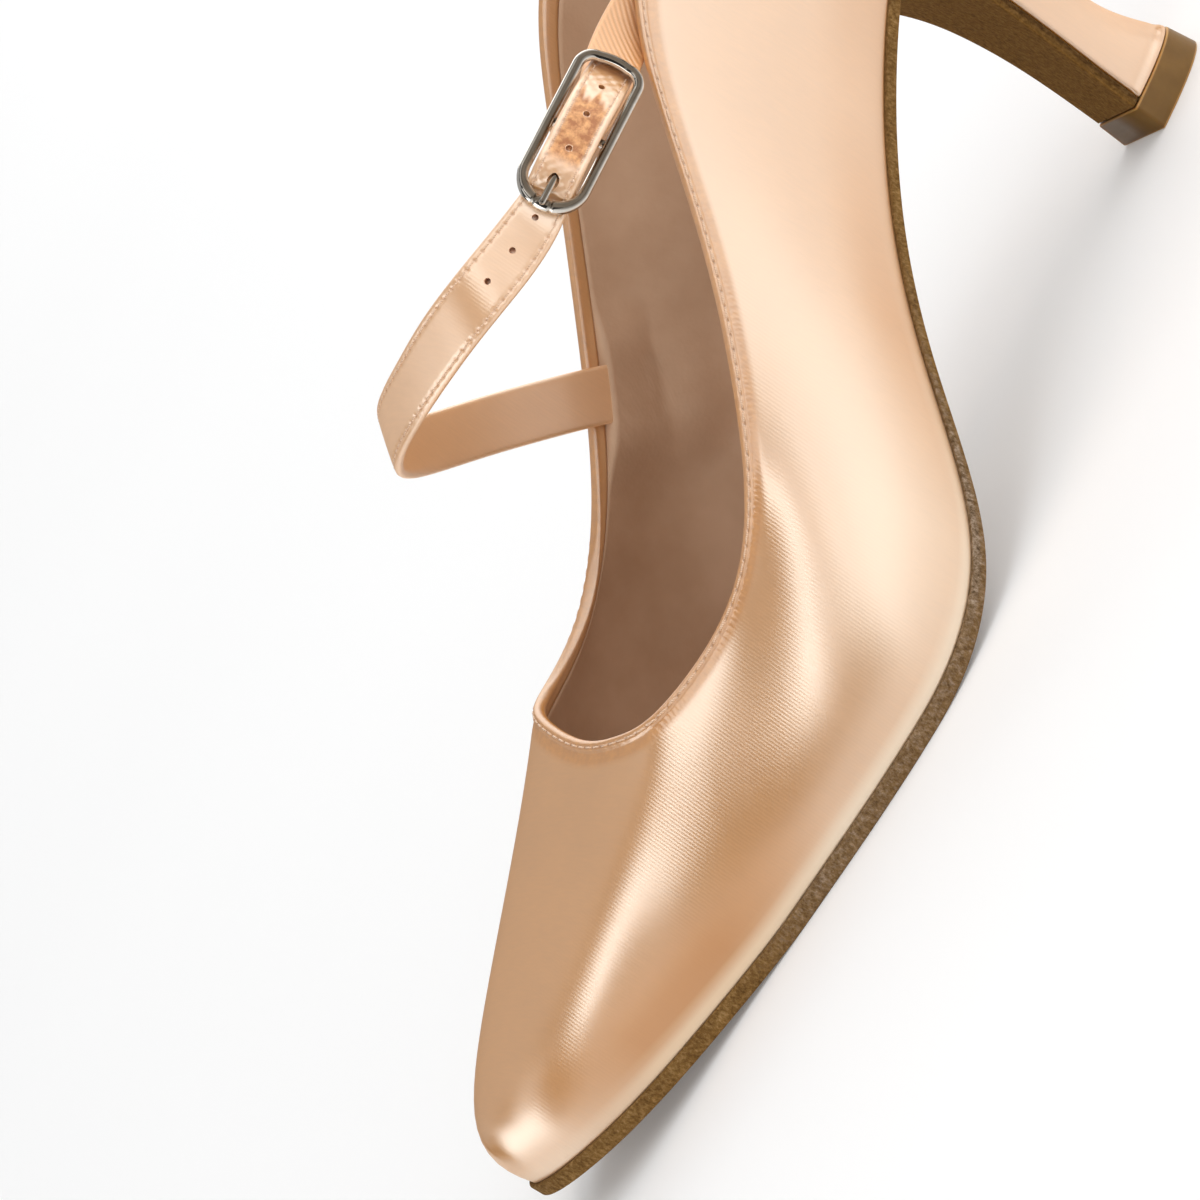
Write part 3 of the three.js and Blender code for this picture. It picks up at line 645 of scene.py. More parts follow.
WHITE = (1, 1, 1)
TWILL_PITCH = 0.5
TWILL_TURN = (0, -3, 20)
TWILL_ACROSS = (0.934, -0.349, -0.048)
TWILL_STRENGTH = 0.12
SLUB_STRETCH = (1, 0.12, 0.12)
SLUB_GRAIN = 0.35
SLUB_STRENGTH = 0.06
SLUB_ROUGHER = 0.04
SLUB_TONES = [(0.25, (0.9, 0.88, 0.86)), (0.75, WHITE)]
SATIN_TONES = [(0.3, (0.61, 0.248, 0.036)), (0.7, (0.66, 0.272, 0.043))]
# Lighter copy of the satin tones for strap and tab: painted light
LIT_STRAP_TONES = [(0.3, (0.8, 0.39, 0.14)), (0.7, (0.86, 0.43, 0.165))]
SATIN_ROUGHNESS = 0.285
STRAP_ROUGHNESS = 0.34
SATIN_IOR = 4.6
SATIN_ANISOTROPY = 0.8
SATIN_SPECULAR = 0.5
GLOSS_TINT = (1, 0.985, 0.91)
# Darker tones for the strap's real rubbed patch and for painted shade on the hem band
WEAR_AND_SHADE_TONES = [(0.4, (0.5, 0.33, 0.2)), (0.66, WHITE)]
# Painted shade colour toward the feather edge
LASTED_SHADE_TONE = (0.5, 0.225, 0.08)
# Painted highlight colour for the lowest rim and the wall at the ball
PAINTED_HIGHLIGHT_TONE = (0.92, 0.74, 0.52)
# Painted shade colour in needle holes, cut holes, rib hollows and under the back bar
PIT_SHADE_TONE = (0.3, 0.2, 0.14)
DULL_ROUGHNESS = 0.5
DULL_SPECULAR = 0.1
FIBRE_TURN = (0, 35, 15)
FIBRE_STRETCH = (1, 1, 0.6)
SUEDE_TONES = [(0.28, (0.07, 0.033, 0.009)), (0.5, (0.21, 0.112, 0.034)), (0.74, (0.39, 0.245, 0.105))]
GREY_TONES = [(0.36, (0.06, 0.038, 0.022)), (0.5, (0.21, 0.14, 0.084)), (0.68, (0.48, 0.38, 0.29))]
# Painted highlight colours for the suede's lower edges and the flap's face
EDGE_LIGHT_TONES = [(0.3, (0.14, 0.064, 0.01)), (0.7, (0.36, 0.185, 0.048))]
PATCH_TONES = [(0.35, (0.74, 0.7, 0.66)), (0.7, WHITE)]
CUT_TONE = (0.5, 0.46, 0.42)
NAP_TINT = (0.8, 0.62, 0.42, 1)
LINING_TONES = [(0.3, (0.5, 0.31, 0.19)), (0.7, (0.62, 0.41, 0.27))]
LINING_CELL = 0.7
TREAD_TONES = [(0.3, (0.15, 0.074, 0.013)), (0.75, (0.19, 0.098, 0.02))]
# Painted highlight colour along the tread's edges
AMBER_EDGE_LIGHT = (0.5, 0.27, 0.085)
AMBER_RADIUS = (1, 0.5, 0.16)
SCRATCH_TURN = (0, 0, 30)
SCRATCH_STRETCH = (1, 0.08, 0.4)
NICKEL_TONES = [(0.3, (0.6, 0.56, 0.5)), (0.7, (0.74, 0.7, 0.64))]
# Painted dark reflection along the top of the buckle wire
CROWN_REFLECTION_TONE = (0.13, 0.11, 0.09)
THREAD_TONES = [(0.2, (0.6, 0.38, 0.24)), (0.8, (0.82, 0.58, 0.4))]
THREAD_TURN = (30, 40, 20)
THREAD_PITCH = 0.25
FLOOR_TONES = [(0.3, (0.8, 0.8, 0.8)), (0.7, (0.82, 0.82, 0.82))]
FLOOR_GLOW = 0.14


def satin_material(name, tones, roughness):
    """Satin with a fine diagonal twill, soft cloudiness and thread slubs; duller where gathered or rubbed;
    painted shade toward the feather edge, on the hem band and in holes, and painted highlight on the lowest
    rim and the ball's wall.
    """
    art = Shading(name)
    plain = art.frame()
    cloud = art.noise(plain, grain=14, detail=3)
    slub = art.noise(art.frame(TWILL_TURN, SLUB_STRETCH), SLUB_GRAIN, detail=2)
    wear_and_shade_grain = art.noise(plain, grain=1.3, detail=5, roughness=0.65)
    twill = art.bands(art.frame(TWILL_TURN), TWILL_PITCH, distortion=1.2, detail_scale=2.0)
    colour = art.blend("MULTIPLY", 0.8, art.ramp(cloud, tones), art.ramp(slub, SLUB_TONES))
    # Painted shade: darker satin toward the feather edge, as far as its gloss is dulled there
    colour = art.blend("MIX", art.mark("lasted_and_shaded"), colour, LASTED_SHADE_TONE)
    # Painted highlight: paler satin along the lowest rim and on the wall at the ball
    colour = art.blend("MIX", art.mark("painted_highlight"), colour, PAINTED_HIGHLIGHT_TONE)
    # Darker where rubbed on the strap, and painted shade on the hem and the gathered band below it
    colour = art.blend("MULTIPLY", art.mark("wear_and_shade"), colour, art.ramp(wear_and_shade_grain, WEAR_AND_SHADE_TONES))
    dull = art.larger(art.mark("dull"), art.mark("painted_pit_shade"))
    gloss = art.remap(slub, roughness, roughness + SLUB_ROUGHER)
    ribs = art.bump(twill, depth=0.03, strength=TWILL_STRENGTH)
    normal = art.add("NewGeometry", "Normal", {})
    along_twill = art.add("VectorMath", "Vector", {0: TWILL_ACROSS, 1: normal}, operation="CROSS_PRODUCT")
    return art.finish({
        # Painted shade in needle holes, cut holes, rib hollows and under the buckle's back bar
        "Base Color": art.blend("MULTIPLY", art.mark("painted_pit_shade"), colour, PIT_SHADE_TONE),
        "Roughness": art.blend_value(dull, gloss, DULL_ROUGHNESS),
        "Specular IOR Level": art.remap(dull, SATIN_SPECULAR, DULL_SPECULAR),
        "Normal": art.bump(slub, depth=0.03, strength=SLUB_STRENGTH, below=ribs),
        "Tangent": along_twill,
        "Specular Tint": (*GLOSS_TINT, 1),
        "IOR": SATIN_IOR,
        "Anisotropic": SATIN_ANISOTROPY,
    })


def suede_material():
    """Brown suede with slanting fibres: darker cut flap edge, grey fuzz at the ball, painted highlight on
    the lower edge and painted light on the flap's front face.
    """
    art = Shading("suede")
    slant = art.frame(FIBRE_TURN, FIBRE_STRETCH)
    fibre = art.noise(slant, grain=0.5, detail=6, roughness=0.7)
    fleck = art.noise(slant, grain=0.6, detail=5, roughness=0.75)
    patch = art.noise(art.frame(), grain=4, detail=3)
    colour = art.blend("MULTIPLY", 0.9, art.ramp(fibre, SUEDE_TONES), art.ramp(patch, PATCH_TONES))
    colour = art.blend("MULTIPLY", art.mark("cut"), colour, CUT_TONE)
    colour = art.blend("MIX", art.mark("fuzz"), colour, art.ramp(fleck, GREY_TONES))
    return art.finish({
        "Base Color": art.blend("MIX", art.mark("painted_edge_light"), colour, art.ramp(fibre, EDGE_LIGHT_TONES)),
        "Normal": art.bump(fibre, depth=0.3, strength=0.8),
        "Roughness": 0.93,
        "Specular IOR Level": 0.08,
        "Sheen Weight": 0.05,
        "Sheen Roughness": 0.5,
        "Sheen Tint": NAP_TINT,
    })


def lining_material():
    """Smooth tan lining leather with a fine grain."""
    art = Shading("lining")
    plain = art.frame()
    cells = art.add("TexVoronoi", "Distance", {"Vector": plain, "Scale": 1 / (LINING_CELL * MM)})
    return art.finish({
        "Base Color": art.ramp(art.noise(plain, grain=18, detail=4), LINING_TONES),
        "Normal": art.bump(cells, depth=0.08, strength=0.35),
        "Roughness": 0.6,
        "Specular IOR Level": 0.35,
    })


def tread_material():
    """Tan moulded plastic that lets some light through, with faint scratches and a painted amber highlight
    along its edges.
    """
    art = Shading("tread")
    cloud = art.noise(art.frame(), grain=3.5, detail=4)
    scratch = art.noise(art.frame(SCRATCH_TURN, SCRATCH_STRETCH), grain=0.4, detail=3)
    return art.finish({
        "Base Color": art.blend("MIX", art.mark("painted_edge_light"), art.ramp(cloud, TREAD_TONES), AMBER_EDGE_LIGHT),
        "Roughness": art.remap(scratch, 0.34, 0.48),
        "Normal": art.bump(scratch, depth=0.03, strength=0.3),
        "Subsurface Weight": 0.45,
        "Subsurface Scale": 0.003,
        "Subsurface Radius": AMBER_RADIUS,
        "Specular IOR Level": 0.3,
    })


def nickel_material():
    """Polished nickel with a little haze, with a painted dark reflection along the wire's crown."""
    art = Shading("nickel")
    haze = art.noise(art.frame(), grain=1.6, detail=4)
    return art.finish({
        "Base Color": art.blend("MULTIPLY", art.mark("crown"), art.ramp(haze, NICKEL_TONES), CROWN_REFLECTION_TONE),
        "Roughness": art.remap(haze, 0.06, 0.13),
        "Metallic": 1.0,
    })


def thread_material():
    """Twisted sewing thread."""
    art = Shading("thread")
    twist = art.bands(art.frame(THREAD_TURN), THREAD_PITCH)
    return art.finish({
        "Base Color": art.ramp(twist, THREAD_TONES),
        "Normal": art.bump(twist, depth=0.05, strength=0.6),
        "Roughness": 0.5,
        "Sheen Weight": 0.2,
    })


def floor_material():
    """Pale table that is lit a little from below."""
    art = Shading("floor")
    return art.finish({
        "Base Color": art.ramp(art.noise(art.frame(), grain=400, detail=2), FLOOR_TONES),
        "Emission Color": (*WHITE, 1),
        "Emission Strength": FLOOR_GLOW,
        "Roughness": 0.7,
        "Specular IOR Level": 0.2,
    })


satin = satin_material("satin", SATIN_TONES, SATIN_ROUGHNESS)
# Lighter copy of the satin for strap and tab: painted light
lit_strap_satin = satin_material("lit_strap_satin", LIT_STRAP_TONES, STRAP_ROUGHNESS)
suede = suede_material()
lining = lining_material()
tread = tread_material()
nickel = nickel_material()
thread = thread_material()


# Topline: a folded hem, a row of stitches in it, and gathers below
STITCH_PITCH = 2.2
STITCH_DEPTH = 1.15
STITCH_SHARE = 0.42
STITCH_RADIUS = 0.17
STITCH_SINK = 0.16
PIT_RADIUS = 0.26
# Painted shade in the hem's needle holes
PIT_SHADE = 0.5
GROOVE_DEPTH = 0.12
HEM_DEPTH = 1.75
HEM_EDGE = 0.2
HEM_RAISE = 0.2
SCALLOP = 0.03
DITCH_DEPTH = 0.16
GATHER_DEPTH = 2.8
GATHER_END = 4.5
GATHERS_PER_STITCH = 2.5
GATHER_SLANT = 0.8
GATHER_RELIEF = 0.022
PULL_RELIEF = 0.02
BAND_DULLNESS = 0.4
HEM_DULLNESS = 0.35
# Painted shade on the hem and the gathered band below it
HEM_SHADE = 0.3
FOLD_INSIDE = 3.2
SKIN = 0.8
GLUE = 0.05

# Satin drawn over the feather edge: station, dullness that also sets a painted shade there, and a painted
# highlight on the lowest rim and on the wall above it
HIGHLIGHT_RIM = 4
HIGHLIGHT_LOW = 8
HIGHLIGHT_HIGH = 28
LASTED_LOW = 6
LASTED_HIGH = 16
LASTED_ROWS = {
    "heel": [40, 0.4, 0, 0],
    "waist": [70, 0.1, 0, 0],
    "shank": [98, 0.4, 0.2, 0],
    "ball": [125, 0.05, 0.6, 0.25],
    "vamp": [168, 0, 0.75, 0],
    "toe": [190, 0.85, 0.75, 0],
    "cap": [207, 0.8, 0.7, 0],
    "tip": [222, 0, 0.3, 0],
}

# Lining over the sewn-in roots of strap and tab
STRAP_ROOT = 26
TAB_ROOT = 19
POCKET_LEATHER = 0.45
POCKET_SLOPE = 11
POCKET_DEEPEST = 6
ROOT_REACH = 10
ROOT_STEPS = 45
ROOT_ACROSS = 7
ROOT_SPACING = 0.8
ROOT_SKIVE = 17
SKIVED_SHARE = 0.25

# Rows of points: round the shoe, down the hem, and down the wall's two faces
RING_SAMPLES = 4001
RING_COARSE = 600
RING_FINE = 4
RING_LINING = 480
RING_STITCHES = 4000
BAND_DEPTHS = [4.6, 4.0, 3.5, 3.1, 2.8, 2.5, 2.25, 2.05, 1.85, 1.65, 1.45, 1.3, 1.15, 1.0]
BEAD_STEPS = 9
WALL_TOP = 5.4
WALL_ROWS = 36
FOLD_ROWS = 3
BEHIND_ROWS = 12
LINING_ROWS = 40
LINING_CLEAR = 0.08
FLOOR_TURN = 1.2


def even_ring(count):
    """Ring places that share out feather edge and topline alike, starting at the heel back."""
    ring = np.linspace(0, RING_END, RING_SAMPLES)
    rows = upper_row(ring)
    lengths = travelled(rows[:, :2]) + travelled(rows[:, 2:5])
    return np.interp(np.arange(count) / count * lengths[-1], lengths, ring)


def topline_lengths(ring):
    """Distance along the topline and its whole length."""
    points = upper_row(np.append(ring, RING_END))[:, 2:5]
    lengths = travelled(points)
    return lengths[:-1], lengths[-1]


def stitch_count(total):
    return round(total / STITCH_PITCH)


def topline_pits(depth, phase):
    across = hump(depth, STITCH_DEPTH, PIT_RADIUS)
    return hump((phase + 0.5) % 1 - 0.5, 0, PIT_RADIUS / STITCH_PITCH) * across


def below_hem(depth):
    return smooth(HEM_DEPTH - HEM_EDGE, HEM_DEPTH + HEM_EDGE, depth)


def gathered_band(depth):
    """1 in the drawn-in band below the hem, 0 beside it."""
    ended = smooth(GATHER_DEPTH + 0.4, GATHER_END, depth)
    return smooth(HEM_DEPTH - HEM_EDGE / 2, HEM_DEPTH + HEM_EDGE, depth) * (1 - ended)


def topline_relief(depth, phase):
    """Lift of the hem, its stitch groove and the gathered band; phase counts stitches."""
    wave = -np.cos(2 * np.pi * phase)
    hem = HEM_RAISE * (1 - smooth(HEM_DEPTH - 0.25, HEM_DEPTH + HEM_EDGE, depth))
    groove = -GROOVE_DEPTH * hump(depth, STITCH_DEPTH, 0.3) - GROOVE_DEPTH * topline_pits(depth, phase)
    scallop = SCALLOP * wave * hump(depth, HEM_DEPTH - HEM_EDGE, 0.4)
    ditch = -DITCH_DEPTH * below_hem(depth) * (1 - smooth(2, GATHER_END, depth))
    slant = phase * GATHERS_PER_STITCH + depth * GATHER_SLANT + 0.25 * np.sin(phase * 1.7)
    gathers = GATHER_RELIEF * np.cos(2 * np.pi * slant) * (0.65 + 0.35 * np.sin(phase * 0.9))
    return hem + groove + scallop + ditch + gathers * hump(depth, GATHER_DEPTH, 0.9)


def lasting_relief(ring, height):
    """Small pulls where the satin is drawn under at the feather edge."""
    pulls = np.sin(ring * 31) * np.sin(ring * 11.3 + 1) + 0.5 * np.sin(ring * 57 + 2)
    return PULL_RELIEF * pulls * hump(height, 0.6, 2.2)


def lasted_marks(points):
    """How far the satin's gloss is drawn out toward the feather edge, which also sets a painted shade
    there, and a painted highlight along the lowest rim and the wall above it.
    """
    station = MIDDLE_STATION - points[..., 0]
    above = points[..., 2] - seat_height(station)
    stations, *columns = np.array(list(LASTED_ROWS.values())).T
    dullness, rim, wall = (np.interp(station, stations, column) for column in columns)
    lasted_and_shaded = dullness * (1 - smooth(LASTED_LOW, LASTED_HIGH, above))
    rim = rim * (1 - smooth(0.8, HIGHLIGHT_RIM, above))
    return lasted_and_shaded, np.maximum(rim, wall * (1 - smooth(HIGHLIGHT_LOW, HIGHLIGHT_HIGH, above)))


def wall_at(ring, depths):
    """Points and normals of the plain outer face at depths below the topline."""
    v = v_at_depth(ring, depths)
    rings = np.broadcast_to(ring[:, None], v.shape)
    return upper_point(rings, v), upper_normal(rings, v)


def satin_rows(ring, depths, phase):
    """Outer face at depths below the topline, with its relief."""
    points, normals = wall_at(ring, depths)
    whole = section_lengths(ring)[:, -1:]
    relief = topline_relief(depths, phase[:, None]) + lasting_relief(ring[:, None], whole - depths)
    return points + normals * relief[..., None]


def bead_rows(ring, phase, steps):
    """Rounded edge from the outer face over to the inner one."""
    radius = WALL / 2
    angle = np.linspace(0, np.pi, steps + 1)[None, :]
    depth = np.broadcast_to(radius * (1 - np.sin(angle)), (len(ring), steps + 1))
    points, normals = wall_at(ring, depth)
    relief = topline_relief(depth, phase[:, None]) * (1 + np.cos(angle)) / 2
    shift = radius * (np.cos(angle) - 1) + relief
    return points + normals * shift[..., None]


def inner_rows(ring, depths, inset):
    """Rows inside the wall at an inset from the outer face."""
    points, normals = wall_at(ring, depths)
    return points - normals * inset


def floor_row(ring, inset, gap):
    """Bottom edge of the wall at an inset, a gap above the sole."""
    _, _, edge = feather(ring, -inset)
    return place(edge[:, 0], edge[:, 1], seat_height(edge[:, 0]) + gap)[:, None, :]


def fan_faces(coarse, fine, flip=False):
    """Joins a closed row of points to one with RING_FINE points for each of its own."""
    faces = []
    half = RING_FINE // 2
    for i, here in enumerate(coarse):
        ahead = coarse[(i + 1) % len(coarse)]
        run = [fine[(i * RING_FINE + k) % len(fine)] for k in range(RING_FINE + 1)]
        new = [(here, run[k + 1], run[k]) for k in range(half)]
        new.append((here, ahead, run[half]))
        new += [(ahead, run[k + 1], run[k]) for k in range(half, RING_FINE)]
        faces += [face[::-1] for face in new] if flip else new
    return faces


def upper_marks(fine_grid, lower, band, phase):
    """Marks of the hem, on the fine points, and of the wall below, on the others."""
    pits = np.zeros(fine_grid.shape[:2])
    pits[:, :len(band)] = topline_pits(band[None, :], phase[:, None])
    dull = np.full_like(pits, HEM_DULLNESS)
    dull[:, :len(band)] *= 1 - below_hem(band)[None, :]
    dull[:, :len(band)] += BAND_DULLNESS * gathered_band(band)[None, :]
    # Near the feather edge: dullness with a painted shade, and a painted highlight on the lowest rim and
    # the ball's wall
    lasted_and_shaded, painted_highlight = lasted_marks(lower)
    pairs = {
        "painted_pit_shade": (PIT_SHADE * pits, 0 * painted_highlight),
        # Painted shade on the hem and the gathered band below it
        "wear_and_shade": (HEM_SHADE * np.minimum(dull / HEM_DULLNESS, 1), 0 * painted_highlight),
        "dull": (dull, lasted_and_shaded),
        "lasted_and_shaded": (0 * dull, lasted_and_shaded),
        "painted_highlight": (0 * dull, painted_highlight),
    }
    return {name: np.concatenate([hem.ravel(), wall.ravel()]) for name, (hem, wall) in pairs.items()}


def make_upper():
    """Satin skin: outer face, hem rolled over the topline, and a thin inner face behind the lining."""
    fine = even_ring(RING_COARSE * RING_FINE)
    coarse = fine[::RING_FINE]
    along, total = topline_lengths(fine)
    phase = along / total * stitch_count(total)

    band = np.array(BAND_DEPTHS)
    fine_grid = np.concatenate([
        satin_rows(fine, np.broadcast_to(band, (len(fine), len(band))), phase),
        bead_rows(fine, phase, BEAD_STEPS),
    ], axis=1)

    whole = section_lengths(coarse)[:, -1:]
    rise = np.linspace(0, 1, WALL_ROWS)[None, :]
    outside = satin_rows(coarse, mix(whole, WALL_TOP, rise), phase[::RING_FINE])
    inside_depths = mix(WALL, FOLD_INSIDE, np.linspace(0, 1, FOLD_ROWS))[None, :] + 0 * whole
    folded = inner_rows(coarse, inside_depths, WALL)
    down = np.linspace(0, 1, BEHIND_ROWS)[None, :]
    behind = inner_rows(coarse, mix(FOLD_INSIDE, whole - FLOOR_TURN, down), SKIN)
    glued = [floor_row(coarse, SKIN, GLUE), floor_row(coarse, 0, GLUE)]
    lower = np.concatenate([folded, behind, *glued, outside], axis=1)

    fine_ids = np.arange(fine_grid[..., 0].size).reshape(fine_grid.shape[:2])
    lower_ids = fine_ids.size + np.arange(lower[..., 0].size).reshape(lower.shape[:2])
    faces = grid_faces(*fine_ids.shape, wrap_rows=True)
    faces += grid_faces(*lower_ids.shape, start=fine_ids.size, wrap_rows=True)
    faces += fan_faces(lower_ids[:, -1].tolist(), fine_ids[:, 0].tolist())
    faces += fan_faces(lower_ids[:, 0].tolist(), fine_ids[:, -1].tolist(), flip=True)
    points = np.concatenate([fine_grid.reshape(-1, 3), lower.reshape(-1, 3)])
    marks = upper_marks(fine_grid, lower, band, phase)
    add_piece("upper_satin", "satin", ["upper"], points, faces, satin, marks)


def skived(strip, s):
    """Share of a strip's thickness that is left toward its sewn-in end."""
    return 1 - (1 - SKIVED_SHARE) * smooth(strip.length - ROOT_SKIVE, strip.length - 1, s)


def pocket_inset(points, normals, strip, start, thick):
    """Inset that carries the lining over the root of a strip sewn in behind it, or the wall's own."""
    s = np.repeat(np.linspace(start, strip.length, ROOT_STEPS), ROOT_ACROSS)
    share = np.tile(np.linspace(-1, 1, ROOT_ACROSS), ROOT_STEPS)
    apart = points[..., None, :] - strip.point(s, share * strip.frame(s)[4] / 2, 0 * s)
    lift = np.einsum("...k,...k->...", apart, normals[..., None, :])
    flat = np.linalg.norm(apart - normals[..., None, :] * lift[..., None], axis=-1)
    near = flat.argmin(axis=-1)[..., None]
    beside = np.take_along_axis(flat, near, axis=-1)[..., 0] - ROOT_SPACING
    behind = thick * skived(strip, s)[near[..., 0]] - thick / 2
    lift = np.take_along_axis(lift, near, axis=-1)[..., 0]
    depth = np.where(lift < ROOT_REACH, lift + behind + POCKET_LEATHER - WALL, 0)
    return WALL + (1 - smooth(0.2, POCKET_SLOPE, beside)) * np.clip(depth, 0, POCKET_DEEPEST)


def make_lining():
    """Lining leather from below the folded hem down to the insole, over the roots of strap and tab."""
    ring = even_ring(RING_LINING)
    whole = section_lengths(ring)[:, -1:]
    down = mix(FOLD_INSIDE + 0.15, whole - FLOOR_TURN, np.linspace(0, 1, LINING_ROWS)[None, :])
    outer = inner_rows(ring, down, SKIN + LINING_CLEAR)
    skin, normals = wall_at(ring, down)
    inset = np.maximum(
        pocket_inset(skin, normals, strap, strap.length - STRAP_ROOT, STRAP_THICK),
        pocket_inset(skin, normals, tab, tab.length - TAB_ROOT, TAB_THICK),
    )
    inner = (skin - normals * inset[..., None])[:, ::-1]
    edge = inner_rows(ring, down[:, :1] - 0.12, (WALL + SKIN) / 2)
    bottom = [floor_row(ring, SKIN + LINING_CLEAR, GAP), floor_row(ring, WALL, GAP)]
    sections = np.concatenate([edge, outer, *bottom, inner], axis=1)
    faces = grid_faces(len(ring), sections.shape[1], wrap_rows=True, wrap_columns=True)
    add_piece("upper_lining", "lining", [], sections, faces, lining)


def capsule_chain(starts, ends, normals, radius, around=7, lengthwise=6):
    """Joined stitches, each a rounded bar between two points, bowed out along its normal."""
    axis = ends - starts
    side = unit(np.cross(axis, normals))
    up = unit(np.cross(side, axis))
    circles = rounds(side, up, around)
    rows = []
    for share in np.linspace(0, 1, lengthwise):
        girth = radius * math.sqrt(max(0.05, 1 - (2 * share - 1) ** 4))
        middle = mix(starts, ends, share) + up * (1 - (2 * share - 1) ** 2) * radius * 0.7
        rows.append(middle[:, None, :] + girth * circles)
    points = np.stack(rows, axis=1)
    faces = []
    size = lengthwise * around
    for i in range(len(starts)):
        faces += grid_faces(lengthwise, around, start=i * size, wrap_columns=True)
        faces.append(tuple(i * size + k for k in range(around)))
        faces.append(tuple(i * size + size - 1 - k for k in range(around)))
    return points, faces


def make_topline_stitches():
    ring = even_ring(RING_STITCHES)
    along, total = topline_lengths(ring)
    count = stitch_count(total)
    pitch = total / count

    def seam(places):
        at = np.interp(places % total, np.append(along, total), np.append(ring, RING_END))
        points, normals = wall_at(at, np.full((len(at), 1), STITCH_DEPTH))
        return points[:, 0] + normals[:, 0] * (HEM_RAISE - STITCH_SINK), normals[:, 0]

    starts, normals = seam((np.arange(count) + 0.5 - STITCH_SHARE) * pitch)
    ends, _ = seam((np.arange(count) + 0.5 + STITCH_SHARE) * pitch)
    stitches = capsule_chain(starts, ends, normals, STITCH_RADIUS)
    add_piece("topline_stitches", "satin", [], *stitches, thread)


# Sole, insole, heel
LAYER_ACROSS = 9
FUZZ_STATION = 122
FUZZ_LENGTH = 19
GREY_BACK = 100
GREY_FRONT = 195
GREY_SHARE = 0.5
# Painted highlight on the sole's lower corner, painted highlight and light on the flap
SOLE_EDGE_LIGHT = 0.35
FLAP_EDGE_LIGHT = 0.9
FLAP_FACE_LIGHT = 0.85
EDGE_REACH = 2.6
SOLE_SECTIONS = 240
BREAST_SECTIONS = 110
INSOLE_SECTIONS = 160
INSOLE_CORNER = 0.7
HEEL_AROUND = 96
HEEL_SECTIONS = 17
HEEL_STEPS = 120
HEEL_LIP_STEPS = 24
HEEL_LIP_ZONE = 4
HEEL_LIP_START = 3.8
HEEL_LIP = 0.13
TREAD_CORNER = 0.4
TREAD_REACH = 2.5


def rounded(corner, steps):
    """Insets and drops round a softened corner, from the face to the side."""
    turn = np.linspace(0, np.pi / 2, steps)
    return corner * (1 - np.sin(turn)), corner * (1 - np.cos(turn))


def edge_profile(thickness):
    """Insets and drops down a sole edge with softened corners, and a little way in along both faces."""
    top_in, top_down = rounded(SOLE_CORNER, 6)
    side_down = np.linspace(0, 1, 6)[1:-1]
    thickness = np.asarray(thickness, float)[..., None]
    middle = SOLE_CORNER + side_down * (thickness - 2 * SOLE_CORNER)
    ones = np.ones_like(thickness)
    faces_in = [EDGE_REACH, EDGE_REACH / 2]
    inset = np.concatenate([faces_in, top_in, 0 * side_down, top_in[::-1], faces_in[::-1]])
    drop = np.concatenate([
        0 * ones, 0 * ones, top_down * ones, middle, thickness - top_down[::-1], thickness, thickness,
    ], axis=-1)
    return inset, drop


def across_points(start, end):
    share = np.linspace(0, 1, LAYER_ACROSS + 2)[1:-1, None]
    return mix(start[:, None, :], end[:, None, :], share[None, :, :])


def layer_loop(outer, inner):
    """Closed loop from the outer profile under the foot to the inner one and back over the top."""
    below = across_points(outer[:, -1], inner[:, -1])
    above = across_points(inner[:, 0], outer[:, 0])
    return np.concatenate([outer, below, inner[:, ::-1], above], axis=1)


def sole_edge(ring):
    rows, normal, _ = feather(ring)
    inset, drop = edge_profile(sole_thickness(rows[:, 0]))
    plan = rows[:, None, :2] + normal[:, None, :] * (SOLE_RIM - inset)[None, :, None]
    return place(plan[..., 0], plan[..., 1], seat_height(plan[..., 0]) - drop)


def breast_edge(s, sign):
    rows = breast_row(s)
    hidden = behind_breast(s, BREAST_LEATHER)
    inset, drop = edge_profile(np.full(len(s), BREAST_LEATHER))
    half = rows[:, 2] if sign > 0 else rows[:, 3]
    face = mix(hidden[:, None, :], rows[:, None, :2], (drop / BREAST_LEATHER)[..., None])
    return place(face[..., 0], sign * (half[:, None] - inset[None, :]), face[..., 1])


def edge_marks():
    """Marks down a sole edge, one for each point of its profile: cut face, painted highlight on the lower
    corner, and lower face.
    """
    inset, drop = edge_profile(np.ones(1))
    lower = drop[0] > 0.5
    cut = 1 - smooth(0.1, 0.4, inset)
    return cut, np.where(lower, hump(inset, 0.14, 0.13), 0), np.where(lower, 1 - cut, 0)


def sole_fuzz(points):
    """Greyness of the edge from shank to vamp, and fuzz in its upper half along the ball's outer side."""
    station, side = MIDDLE_STATION - points[..., 0], MIDDLE_SIDE - points[..., 1]
    down = (seat_height(station) - points[..., 2]) / sole_thickness(station)
    upper_half = smooth(-0.05, 0.05, down) * (1 - smooth(0.5, 0.7, down))
    fuzzy = hump(station, FUZZ_STATION, FUZZ_LENGTH) * upper_half * smooth(0, 5, side)
    greyed = smooth(GREY_BACK, GREY_BACK + 15, station)
    greyed = greyed * (1 - smooth(GREY_FRONT - 20, GREY_FRONT, station))
    return np.maximum(fuzzy, GREY_SHARE * greyed)


